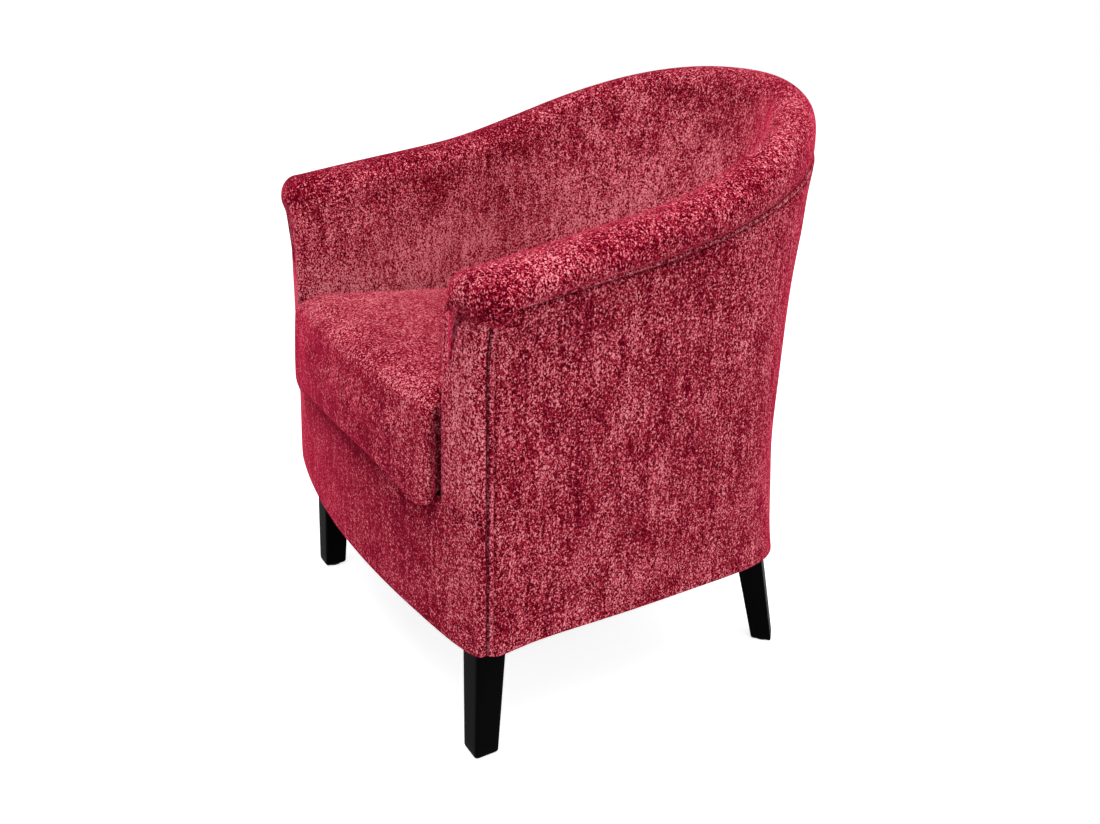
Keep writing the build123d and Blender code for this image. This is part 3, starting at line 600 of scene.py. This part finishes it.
def coverFace(tub, frontGap, hem, top):  # out, height, painted shade and tone of the face, from the hem to the seam
    size = outside
    # even steps up to the stitched band, then fine steps
    share = np.concatenate([np.linspace(0, 1, size["faceSteps"], endpoint=False), np.ones(size["fineTop"])])
    rise = np.concatenate([np.zeros(size["faceSteps"]), np.linspace(0, size["fineDrop"], size["fineTop"])])
    height = blend(hem + size["hemRound"], top - size["fineDrop"], share[None, :]) + rise[None, :]
    drop = top - height
    gaps = np.broadcast_to(frontGap, height.shape)
    # the seam lies flatter round the back, and its painted shade is lighter there
    rear = np.sin(tub["angle"]) ** 2
    flatter = 1 - size["backFlat"] * rear
    out = outsideFace(tub, height, top) + flatter * stitchedEdge(drop) + stitchedEdge(gaps)
    turned = size["topTurn"] * smoothStep(1 - drop / size["turnRun"])
    out = out - turned * smoothStep(frontGap / size["stitchBand"])
    # slow waves, calm beside the seams
    along = lengthAlong(place(tub, tub["rim"], 0.0)[:, 0, :2])[:, None]
    pace, sway, swayPace, risePace, drift = size["waves"]
    calm = smoothStep(frontGap / size["calmRun"]) * smoothStep(drop / size["calmRun"])
    wave = size["wave"] * calm * np.sin(along * pace + sway * np.sin(height * swayPace))
    out = out + wave * np.sin(height * risePace + along * drift)
    # painted shade along the edge under the roll and along the front edge; painted highlight on the folded
    # ridges
    topPaintedShade = paintedEdgeShade(drop, size["topShadeWidth"], size["topShade"]) * (1 - size["backShade"] * rear)
    crease = np.maximum(topPaintedShade, paintedEdgeShade(gaps, size["frontShadeWidth"], size["frontShade"]))
    ridge = np.maximum(foldedRidge(drop), size["frontRidge"] * foldedRidge(gaps))
    return out, height, crease, size["tone"] + size["ridgeTone"] * ridge


def makeOutside():  # face, turned top, lining side, lip under the seat and round of the hem, with two ends
    size = outside
    tub = tubStations(size, size["frontEdge"])
    top = seamHeight(tub["run"]) - size["topDrop"]
    frontGap = np.where(tub["isArm"], tub["run"] - size["frontEdge"], 1.0)
    hem = coverHem(tub, frontGap)
    faceOut, faceHeight, facePaintedShade, faceTone = coverFace(tub, frontGap, hem, top)
    edgeOut = faceOut[:, -1:] - size["thickness"] * np.array([size["turnShares"]])
    edgeHeight = faceHeight[:, -1:] + np.array([size["turnRises"]])
    down = np.linspace(1, 0, size["backSteps"])[None, :]
    backHeight = blend(body["hem"] + size["backFoot"], top - size["backDrop"], down)
    backOut = outsideFace(tub, backHeight, top) - size["thickness"] - size["backGap"]
    foot = outsideFace(tub, np.full_like(top, body["hem"]), top)
    lipOut = foot - size["thickness"] - size["lipReach"] * np.array([size["lipShares"]])
    lipHeight = np.full_like(lipOut, body["hem"] + size["lipRise"])
    turn = np.linspace(math.pi / 2, 0, size["hemSteps"], endpoint=False)[None, :]
    roundOut = foot - size["hemRound"] + size["hemRound"] * np.cos(turn)
    roundHeight = hem + size["hemRound"] - size["hemRound"] * np.sin(turn)
    out = np.concatenate([faceOut, edgeOut, backOut, lipOut, lipOut[:, ::-1], roundOut], axis=1)
    underHeight = lipHeight - size["lipThickness"]
    height = np.concatenate([faceHeight, edgeHeight, backHeight, lipHeight, underHeight, roundHeight], axis=1)
    # painted shade: full on the turned top, the hidden back and the lip; the hem's round takes the face's
    # lowest
    crease, tone = np.ones(out.shape), np.full(out.shape, size["tone"])
    crease[:, : faceHeight.shape[1]] = facePaintedShade
    crease[:, -size["hemSteps"] :] = facePaintedShade[:, :1]
    tone[:, : faceHeight.shape[1]] = faceTone
    # front ends: the shell's edge rounds over towards its middle, with painted shade darkest where it turns
    # in
    first = {key: column[:1] for key, column in tub.items()}
    middle = outsideFace(first, height[:1], top[:1])[0] - size["thickness"] * size["endDepth"]
    turn = np.linspace(0, math.pi / 2 * size["endTurn"], size["endRings"])[1:, None]
    endY = frontY + size["frontEdge"] - size["endRound"] * np.sin(turn)
    end = grid(middle + (out[0] - middle) * np.cos(turn), endY, height[0])[::-1]
    endPaintedShade = np.broadcast_to(np.linspace(1, size["endShade"], len(end))[:, None], end.shape[:2])
    crease = np.concatenate([endPaintedShade, crease, endPaintedShade[::-1]])
    endTone = np.full(end.shape[:2], size["tone"])
    tone = np.concatenate([endTone, tone, endTone])
    return sweptPiece("outsideCover", bothEnds(end, place(tub, out, height)), crease=crease, tone=tone)


outsideCover = makeOutside()
dress(outsideCover, "chair", "chenille", "outside_arm_left", "outside_arm_right", "outside_back")
print("outside cover:", len(outsideCover.data.polygons), "faces")

# Front panels: padded strips whose section is a rounded box, wrapped on the bowed front
facing = dict(
    ringSteps=96, squareness=5.0, rows=90, foot=0.3388, top=0.578, footRound=0.0020, roundLimit=0.98,
    crown=0.0028, inset=0.0025, cutHeight=0.564, cutSlope=0.7, softRise=0.08, edgeShade=0.12,
    edgeWidth=0.0025, tone=0.012, cloudTone=0.05, cloudHeight=0.43, cloudSpread=0.055,
    gapShade=0.4, gapPlace=0.003, gapWidth=0.005, gapTop=0.448, gapFade=0.014,
)
corner = dict(
    inset=0.0004, lap=0.0056, back=0.0048, soft=0.0045, softRun=0.018, shadeLap=0.003, shadeWidth=0.0014,
)


def roundedRing(count, squareness):  # unit superellipse: sign(cos)|cos|^(2/n), sign(sin)|sin|^(2/n)
    turn = np.linspace(0, 2 * math.pi, count, endpoint=False)
    return tuple(np.sign(wave) * np.abs(wave) ** (2 / squareness) for wave in (np.cos(turn), np.sin(turn)))


def frontWall(height):  # out of the outside cover at the arm's front
    first = dict(angle=np.zeros((1, 1)), flare=np.full((1, 1), body["armFlare"]))
    return outsideFace(first, height, np.full((1, 1), seamHeight(0.0)))


def panelFront(size, out, rounding, deep, wave=0.0):  # the bowed front, moved by the panel's section
    thick = (body["panelThickness"] + size["crown"]) / 2 * rounding
    middle = frontY + frontLine(out) + body["panelThickness"] / 2 - size["crown"] / 2
    return middle - (thick + wave) * deep[None, :]


def wrapCorner(y, out, wall):  # the last few millimetres of a front panel lie before the cover's edge
    return np.where(np.abs(out) > wall - corner["lap"], np.minimum(y, frontY + corner["back"]), y)


def paintedCornerShade(y, out, wall):  # painted shade, only where the panel meets the cover
    shade = bump(y - frontY - corner["back"], corner["shadeWidth"])
    return np.where(np.abs(out) > wall - corner["shadeLap"], shade, 0.0)


def makeFacing(name, side):  # sections from the arm's inner edge to the cover's wall, stacked up the arm
    size = facing
    across, deep = roundedRing(size["ringSteps"], size["squareness"])
    height = np.linspace(size["foot"], size["top"], size["rows"])[:, None]
    wall = frontWall(height)
    outer = wall - corner["inset"]
    rise = (height - body["padFoot"]) / (rimHeight(0.0) - body["padFoot"])
    swellShare = np.clip(rise, 0, 1) ** body["armEase"]
    inner = blend(seatFrontHalf, innerFrontHalf, swellShare) - size["inset"]
    inner = inner + np.clip(height - size["cutHeight"], 0, None) * size["cutSlope"]
    footShare = np.clip(1 - (height - size["foot"]) / size["footRound"], 0, size["roundLimit"])
    out = (inner + outer) / 2 + (outer - inner) / 2 * across[None, :]
    y = panelFront(size, out, np.sqrt(1 - footShare**2), deep)
    # the outer edge turns softly back to its seam
    soft = np.clip((out - wall + corner["softRun"]) / corner["softRun"], 0, 1) ** 2
    y = wrapCorner(y + corner["soft"] * (soft * fade(height, size["foot"], size["softRise"])), out, wall)
    # painted shade along the foot and where the panel meets the cover
    crease = size["edgeShade"] * bump(height - size["foot"], size["edgeWidth"]) + paintedCornerShade(y, out, wall)
    # painted shadow in the gap behind the cushion's end
    gap = bump(out - inner - size["gapPlace"], size["gapWidth"])
    gap = gap * (1 - fade(height, size["gapTop"], size["gapFade"]))
    crease = np.clip(np.maximum(crease, size["gapShade"] * gap), 0, 1)
    tone = size["tone"] + size["cloudTone"] * bump(height - size["cloudHeight"], size["cloudSpread"])
    return sweptPiece(name, grid(side * out, y, height), crease=crease, tone=tone)


for sideName, side in sides.items():
    panel = makeFacing("armFacing" + sideName.title(), side)
    dress(panel, "chair", "chenille", "arm_facing_" + sideName)
print("arm facings: 2")

border = dict(
    ringSteps=150, squareness=9.0, columns=240, endRound=0.007, endLimit=0.02, endSquash=0.05, crown=0.002,
    dip=0.0065, dipPower=4, farDip=0.25, dipOut=0.045, halfSpan=0.2, topLift=0.004, liftPower=2,
    wave=0.0013, waves=(31, 1.3, 2, 11), tone=-0.035, endTone=-0.004, endOut=0.19, endFade=0.06,
    shade=0.45, shadePower=4, shadeTone=-0.05, shadeStart=0.285, shadeOut=0.21, shadeFade=0.02,
)


def makeBorder():  # sections from hem to top, side by side from one corner to the other
    size = border
    low, high = body["hem"], body["borderTop"]
    middle, half = (low + high) / 2, (high - low) / 2
    tall, deep = roundedRing(size["ringSteps"], size["squareness"])
    wall = frontWall(np.array([[middle]])).item()
    reach = wall - corner["inset"]
    out = reach * np.sin(np.linspace(-math.pi / 2, math.pi / 2, size["columns"]))[:, None]
    away = reach - np.abs(out)
    rounding = np.sqrt(1 - (1 - np.clip(away / size["endRound"], size["endLimit"], 1)) ** 2)
    # the hem dips beside both corners, deeper at one of them, and the top rises in the middle
    dip = cornerDip(away, size["dip"], size["dipOut"]) * np.clip(-tall[None, :], 0, 1) ** size["dipPower"]
    dip = dip * blend(size["farDip"], 1.0, smoothStep(0.5 + out / size["halfSpan"]))
    height = middle + half * tall[None, :] * (1 - (1 - rounding) * size["endSquash"]) - dip
    rise = np.clip(1 - (out / size["halfSpan"]) ** 2, 0, 1)
    rise = rise * np.clip(tall[None, :], 0, 1) ** size["liftPower"]
    height = height + size["topLift"] * rise
    lean = 1 - body["wallLean"] * (height - middle) / (crestHeight - low) / reach
    pace, start, sway, swayPace = size["waves"]
    wave = size["wave"] * np.sin(out * pace + start + sway * np.sin(height * swayPace))
    wave = wave * np.sin((height - low) / (high - low) * math.pi)
    y = wrapCorner(panelFront(size, out, rounding, deep, wave), out, wall)
    # painted shade under the cushion, between the facings; the whole border is painted darker than near its
    # ends
    shade = fade(height, size["shadeStart"], high - size["shadeStart"])
    shade = shade * (1 - fade(np.abs(out), size["shadeOut"], size["shadeFade"]))
    crease = np.clip(paintedCornerShade(y, out, wall) + size["shade"] * shade ** size["shadePower"], 0, 1)
    tone = blend(size["tone"], size["endTone"], fade(np.abs(out), size["endOut"], size["endFade"]))
    tone = tone + size["shadeTone"] * shade
    return sweptPiece("frontBorder", grid(out * lean, y, height), crease=crease, tone=tone)


frontBorder = makeBorder()
dress(frontBorder, "chair", "chenille", "front_border")
print("front border:", len(frontBorder.data.polygons), "faces")

# Seat cushion and deck pad: bow fronted boxes that lean back; the cushion is blown up as cloth to fill out
seat = dict(
    tilt=math.radians(3.5), backDrop=0.07, centre=0.35, drawn=(0.02, 0.25, 0.5, 0.72, 0.88), bowPower=3,
)
cushion = dict(
    bottom=0.346, height=0.120, crown=0.006, sideGap=0.005, frontGap=0.010, frontSquareness=44.0,
    frontRoom=0.004, topEdge=0.022, lowEdge=0.010, edgeSteps=7, around=720, startInset=0.002,
    voxel=0.005, pressure=4.0, stiffness=20, bending=2.0, frames=20, cap=0.007, sideCap=0.001,
    heldRun=0.03, heldLean=0.2, heldFade=0.5, bowLimit=0.29,
    lip=0.0145, lipRun=0.010, lipStart=0.180, lipFade=0.035,
    droop=0.003, cornerDroop=0.020, droopOut=0.185, droopPower=2.6, droopHeight=0.380, droopFade=0.03,
    droopStart=0.006, droopRun=0.010, cornerRound=0.4, roundStart=0.190, roundFade=0.018,
    smoothings=2, smoothing=0.5, frontTone=-0.04, paintedEdgeHighlight=0.045, sideTone=-0.035, sideHalf=0.2,
    frontNearTone=0.04, nearStart=0.10, nearFade=0.09, gapShade=0.55, gapTop=0.462, gapFade=0.02,
    endLean=0.80, endFade=0.15, endDepth=0.02, endRun=0.01,
)
deck = dict(
    thickness=0.020, crown=0.0015, sideGap=0.005, frontGap=0.010, frontSquareness=14.0, frontRoom=-0.0240,
    topEdge=0.006, lowEdge=0.006, edgeSteps=5, around=220, startInset=0.0, drop=0.0006,
)


def seatOutline(size, angle, inset):
    # back: the tub's own curve; front: a squarer box, pushed out by the bow; measured from the back's axis
    side = innerFanHalf - size["sideGap"] - inset
    reach = body["seatReach"] - body["backRake"] * seat["backDrop"] - size["sideGap"] - inset
    front = body["armRun"] + body["overhang"] + size["frontRoom"] - inset
    radius = np.where(np.sin(angle) >= 0, swell(side, reach, body["innerSquareness"], angle),
                      swell(side, front, size["frontSquareness"], angle))
    x, y = radius * np.cos(angle), radius * np.sin(angle)
    forward = np.clip(-y / front, 0, 1)
    x = x * blend(1.0, (seatFrontHalf - size["frontGap"]) / (innerFanHalf - size["sideGap"]), forward)
    bow = body["frontBow"] * np.clip(1 - (x / body["halfWidth"]) ** 2, 0, 1) * forward ** seat["bowPower"]
    return np.stack([x, y - bow], axis=-1)


def tiltSeat(points):  # turned back about a level line half way up the cushion's front
    pivotY = frontY - body["frontBow"] - body["overhang"]
    pivot = Vector((0, pivotY, cushion["bottom"] + cushion["height"] / 2))
    turn = Matrix.Translation(pivot) @ Matrix.Rotation(-seat["tilt"], 4, "X") @ Matrix.Translation(-pivot)
    return points @ np.array(turn)[:3, :3].T + np.array(turn)[:3, 3]


def seatPad(name, size, tall, lowest):
    # rings with quarter round edges, drawn in to a point over the flat bottom and over the crowned top
    turn = np.linspace(0, math.pi / 2, size["edgeSteps"])
    low, top = size["lowEdge"], size["topEdge"]
    insets = np.concatenate([low * (1 - np.sin(turn)), top * (1 - np.cos(turn))]) + size["startInset"]
    levels = np.concatenate([low * (1 - np.cos(turn)), tall - top * (1 - np.sin(turn))])
    angle = np.linspace(0, 2 * math.pi, size["around"], endpoint=False)
    outlines = [seatOutline(size, angle, inset) for inset in insets]
    centre, drawn = np.array([0.0, -body["armRun"] * seat["centre"]]), np.array(seat["drawn"])
    flat = [centre + (outlines[0] - centre) * share for share in drawn]
    dome = [centre + (outlines[-1] - centre) * share for share in drawn[::-1]]
    domeLevels = levels[-1] + size["crown"] * (1 - drawn[::-1] ** 2)
    heights = lowest + np.concatenate([np.full(len(drawn), levels[0]), levels, domeLevels])
    x, y = np.moveaxis(np.array(flat + outlines + dome), -1, 0)
    return sweptPiece(name, tiltSeat(grid(x, y + fanY, heights[:, None])))


def makeCushion():  # starts small by an inset that the swell fills
    start = cushion["startInset"]
    return seatPad("seatCushion", cushion, cushion["height"] - 2 * start, cushion["bottom"] + start)


def makeDeck():  # its crown ends a drop below the cushion
    lowest = cushion["bottom"] - deck["drop"] - deck["thickness"] - deck["crown"]
    return seatPad("deckPad", deck, deck["thickness"], lowest)


def readPoints(piece, key):  # the co or the normal of each point
    values = np.empty(len(piece.data.vertices) * 3)
    piece.data.vertices.foreach_get(key, values)
    return values.reshape(-1, 3)


def addModifier(piece, kind, **settings):  # a modifier of one kind, set up
    bpy.context.view_layer.objects.active = piece
    modifier = piece.modifiers.new(kind.lower(), kind)
    for key, value in settings.items():
        setattr(modifier, key, value)
    return modifier


def applyModifier(modifier):  # its result becomes the mesh
    bpy.ops.object.modifier_apply(modifier=modifier.name)


def swellCloth(piece):  # each point's place and normal, and how far the blown up cloth moves it outwards
    size = cushion
    applyModifier(addModifier(piece, "REMESH", mode="VOXEL", voxel_size=size["voxel"]))
    rest, normals = readPoints(piece, "co"), readPoints(piece, "normal")
    cloth = addModifier(piece, "CLOTH")
    cloth.settings.use_pressure = True
    cloth.settings.uniform_pressure_force = size["pressure"]
    cloth.settings.effector_weights.gravity = 0
    cloth.settings.tension_stiffness = cloth.settings.compression_stiffness = size["stiffness"]
    cloth.settings.bending_stiffness = size["bending"]
    for step in range(1, size["frames"] + 1):
        scene.frame_set(step)
    applyModifier(cloth)
    scene.frame_set(1)
    # only the outward swell is kept, so that the sewn edges stay where they are cut
    push = np.sum((readPoints(piece, "co") - rest) * normals, axis=1)
    return rest, normals, np.clip(push, 0, size["cap"])


def blowCushion(piece):  # the swell within its limits, then the lip and the droop of the front
    size = cushion
    rest, normals, push = swellCloth(piece)
    # the arms and the back hold the sides to a small swell, and the deck holds the bottom
    behind = fade(rest[:, 1], frontY, size["heldRun"])
    held = behind * (1 - fade(normals[:, 2], size["heldLean"], size["heldFade"]))
    points = rest + normals * np.minimum(push, blend(size["cap"], size["sideCap"], held))[:, None]
    # before the arms nothing holds the front: it swells out round them and hangs over the border
    ahead = frontY + frontLine(np.clip(points[:, 0], -size["bowLimit"], size["bowLimit"])) - points[:, 1]
    beside = fade(np.abs(points[:, 0]), size["lipStart"], size["lipFade"])
    points[:, 0] += np.sign(points[:, 0]) * size["lip"] * beside * smoothStep(ahead / size["lipRun"])
    # it hangs lowest near its corners, which round up again
    across = np.abs(rest[:, 0])
    cornerShare = np.clip(across / size["droopOut"], 0, 1) ** size["droopPower"]
    droop = size["droop"] + size["cornerDroop"] * cornerShare
    droop = droop * (1 - size["cornerRound"] * fade(across, size["roundStart"], size["roundFade"]))
    low = smoothStep((size["droopHeight"] - points[:, 2]) / size["droopFade"])
    points[:, 2] -= droop * low * smoothStep((ahead + size["droopStart"]) / size["droopRun"])
    piece.data.vertices.foreach_set("co", points.reshape(-1))
    piece.data.update()
    applyModifier(addModifier(piece, "SMOOTH", iterations=size["smoothings"], factor=size["smoothing"]))
    applyModifier(addModifier(piece, "SUBSURF", levels=1, render_levels=1))
    piece.data.shade_smooth()


def shadeCushion(piece):
    # painted shade on the front, a painted highlight along the rounded edge over it, painted light on the top
    # that fades from one side to the other, and the front paler towards its near end
    size = cushion
    normals, points = readPoints(piece, "normal"), readPoints(piece, "co")
    ahead, upward = np.clip(-normals[:, 1], 0, 1), np.clip(normals[:, 2], 0, 1)
    tone = size["frontTone"] * smoothStep(ahead) + size["paintedEdgeHighlight"] * (2 * ahead * upward) ** 2
    tone = tone + size["sideTone"] * upward**2 * points[:, 0] / size["sideHalf"]
    tone = tone + size["frontNearTone"] * ahead * fade(points[:, 0], size["nearStart"], size["nearFade"])
    # painted shade in the gap where the ends turn in behind the front
    ends = fade(np.abs(normals[:, 0]), size["endLean"], size["endFade"])
    ends = ends * smoothStep((frontY + size["endDepth"] - points[:, 1]) / size["endRun"])
    crease = size["gapShade"] * ends * smoothStep((size["gapTop"] - points[:, 2]) / size["gapFade"])
    addLayers(piece.data, tone.shape, tone=tone, crease=crease)


seatCushion = makeCushion()
blowCushion(seatCushion)
shadeCushion(seatCushion)
dress(seatCushion, "seat_cushion", "chenille", "seat_cushion_cover", "seat_cushion_core")
print("seat cushion:", len(seatCushion.data.polygons), "faces")

deckPad = makeDeck()
dress(deckPad, "chair", "foam", "deck_pad")
print("deck pad:", len(deckPad.data.polygons), "faces")

# Legs: square tapered bars with eased edges, the rear ones turned to the corner and raked back.
# The two sides are those of the square at the foot and at the top.
legs = dict(
    front=dict(top=(0.247, -0.241), foot=(0.2535, -0.247), sides=(0.033, 0.041), squareness=9.0, turn=0.0),
    rear=dict(top=(0.2320, 0.1810), foot=(0.239, 0.229), sides=(0.029, 0.037), squareness=16.0,
              turn=math.radians(45)),
)
leg = dict(top=0.1745, bottom=0.0014, ease=0.0045, easeSteps=6, rows=14, ringSteps=64)


def makeLeg(name, end, side):  # rounded squares from the eased foot up, on a straight line to the top
    size = leg
    across, deep = roundedRing(size["ringSteps"], end["squareness"])
    x = across * math.cos(end["turn"]) - deep * math.sin(end["turn"])
    y = across * math.sin(end["turn"]) + deep * math.cos(end["turn"])
    turn = np.linspace(0, math.pi / 2, size["easeSteps"])
    straight = np.linspace(size["bottom"] + size["ease"], size["top"], size["rows"])[1:]
    height = np.concatenate([size["bottom"] + size["ease"] * (1 - np.cos(turn)), straight])[:, None]
    inset = np.concatenate([size["ease"] * (1 - np.sin(turn)), np.zeros(len(straight))])[:, None]
    share = (height - size["bottom"]) / (size["top"] - size["bottom"])
    half = blend(*end["sides"], share) / 2 - inset
    centreX, centreY = (blend(foot, top, share) for foot, top in zip(end["foot"], end["top"]))
    return sweptPiece(name, grid(side * (centreX + half * x), centreY + half * y, height))


for endName, end in legs.items():
    for sideName, side in sides.items():
        piece = makeLeg(endName + "Leg" + sideName.title(), end, side)
        dress(piece, "chair", "black_wood", endName + "_leg_" + sideName)
print("legs: 4")

# Floor, light and camera
studio = dict(
    worldStrength=0.44, seenStrength=1.0, floorHalf=6.0, floorGlow=0.74, floorRoughness=0.9,
    cloudSize=0.4, cloudDetail=3.0, darkStop=(0.3, (0.90, 0.90, 0.90)), lightStop=(0.7, (0.92, 0.92, 0.92)),
    aim=(0.0, 0.0, 0.4),
)
white = (1.0, 1.0, 1.0, 1.0)


def seenRays(tree):  # 1 for the rays that see the stage, 0 for the light that it sends on
    rays = addNode(tree, "ShaderNodeLightPath", {})
    seen = combine(tree, "ADD", rays.outputs["Is Camera Ray"], rays.outputs["Is Glossy Ray"], True)
    return combine(tree, "ADD", seen, rays.outputs["Is Transmission Ray"], True)


def paleFloor():  # near white with slow clouds, and a glow for the rays that see it
    material, tree, shader = newMaterial("paleFloor")
    clouds = noise(tree, objectPoints(tree), studio["cloudSize"], studio["cloudDetail"])
    feed(tree, shader, {
        "Base Color": ramp(tree, clouds, studio["darkStop"], studio["lightStop"]),
        "Roughness": studio["floorRoughness"], "Emission Color": white,
        "Emission Strength": combine(tree, "MULTIPLY", seenRays(tree), studio["floorGlow"]),
    })
    return material


floorCorners = np.array([[-1, -1, 0], [1, -1, 0], [1, 1, 0], [-1, 1, 0]]) * studio["floorHalf"]
floor = addObject("floor", meshFrom("floor", floorCorners, [[0, 1, 2, 3]]))
floor.data.materials.append(paleFloor())

scene.world = bpy.data.worlds.new("studio")
scene.world.use_nodes = True
worldTree = scene.world.node_tree
strength = stretched(worldTree, seenRays(worldTree), studio["worldStrength"], studio["seenStrength"])
feed(worldTree, worldTree.nodes["Background"], {"Color": white, "Strength": strength})

lamps = dict(
    top=dict(power=63.0, position=(0.5, -0.5, 2.6), size=1.8),
    side=dict(power=18.0, position=(2.8, 0.3, 1.4), size=2.0),
    back=dict(power=8.0, position=(-1.6, 1.8, 2.2), size=1.6),
)


def addLamp(name, power, position, size):  # a square lamp turned to the middle of the chair
    light = bpy.data.lights.new(name, "AREA")
    light.energy = power
    light.size = size
    lamp = addObject(name, light)
    lamp.location = position
    lamp.rotation_euler = (Vector(studio["aim"]) - Vector(position)).to_track_quat("-Z", "Y").to_euler()


for lampName, lamp in lamps.items():
    addLamp(lampName, **lamp)

view = dict(azimuth=57.366, elevation=22.49, roll=2.444, distance=1.5401, target=(-0.0602, 0.0335, 0.28636),
            focal=1025.0, imageWidth=1100.0, sensor=36.0, rise=-0.00255)


def addCamera():  # stands back from its target along azimuth and elevation, then rolls about that line
    azimuth, elevation, roll = (math.radians(view[key]) for key in ("azimuth", "elevation", "roll"))
    level = math.cos(elevation)
    back = Vector((math.sin(azimuth) * level, -math.cos(azimuth) * level, math.sin(elevation)))
    right = Vector((math.cos(azimuth), math.sin(azimuth), 0.0))
    up = back.cross(right)
    turnedRight = right * math.cos(roll) + up * math.sin(roll)
    turnedUp = up * math.cos(roll) - right * math.sin(roll)
    lens = bpy.data.cameras.new("camera")
    lens.sensor_fit = "HORIZONTAL"
    lens.sensor_width = view["sensor"]
    lens.lens = view["focal"] * view["sensor"] / view["imageWidth"]
    lens.shift_y = view["rise"]
    scene.camera = addObject("camera", lens)
    turn = Matrix((turnedRight, turnedUp, back)).transposed().to_4x4()
    scene.camera.matrix_world = Matrix.Translation(Vector(view["target"]) + back * view["distance"]) @ turn


addCamera()
scene.view_settings.view_transform = "Standard"
print("studio ready")
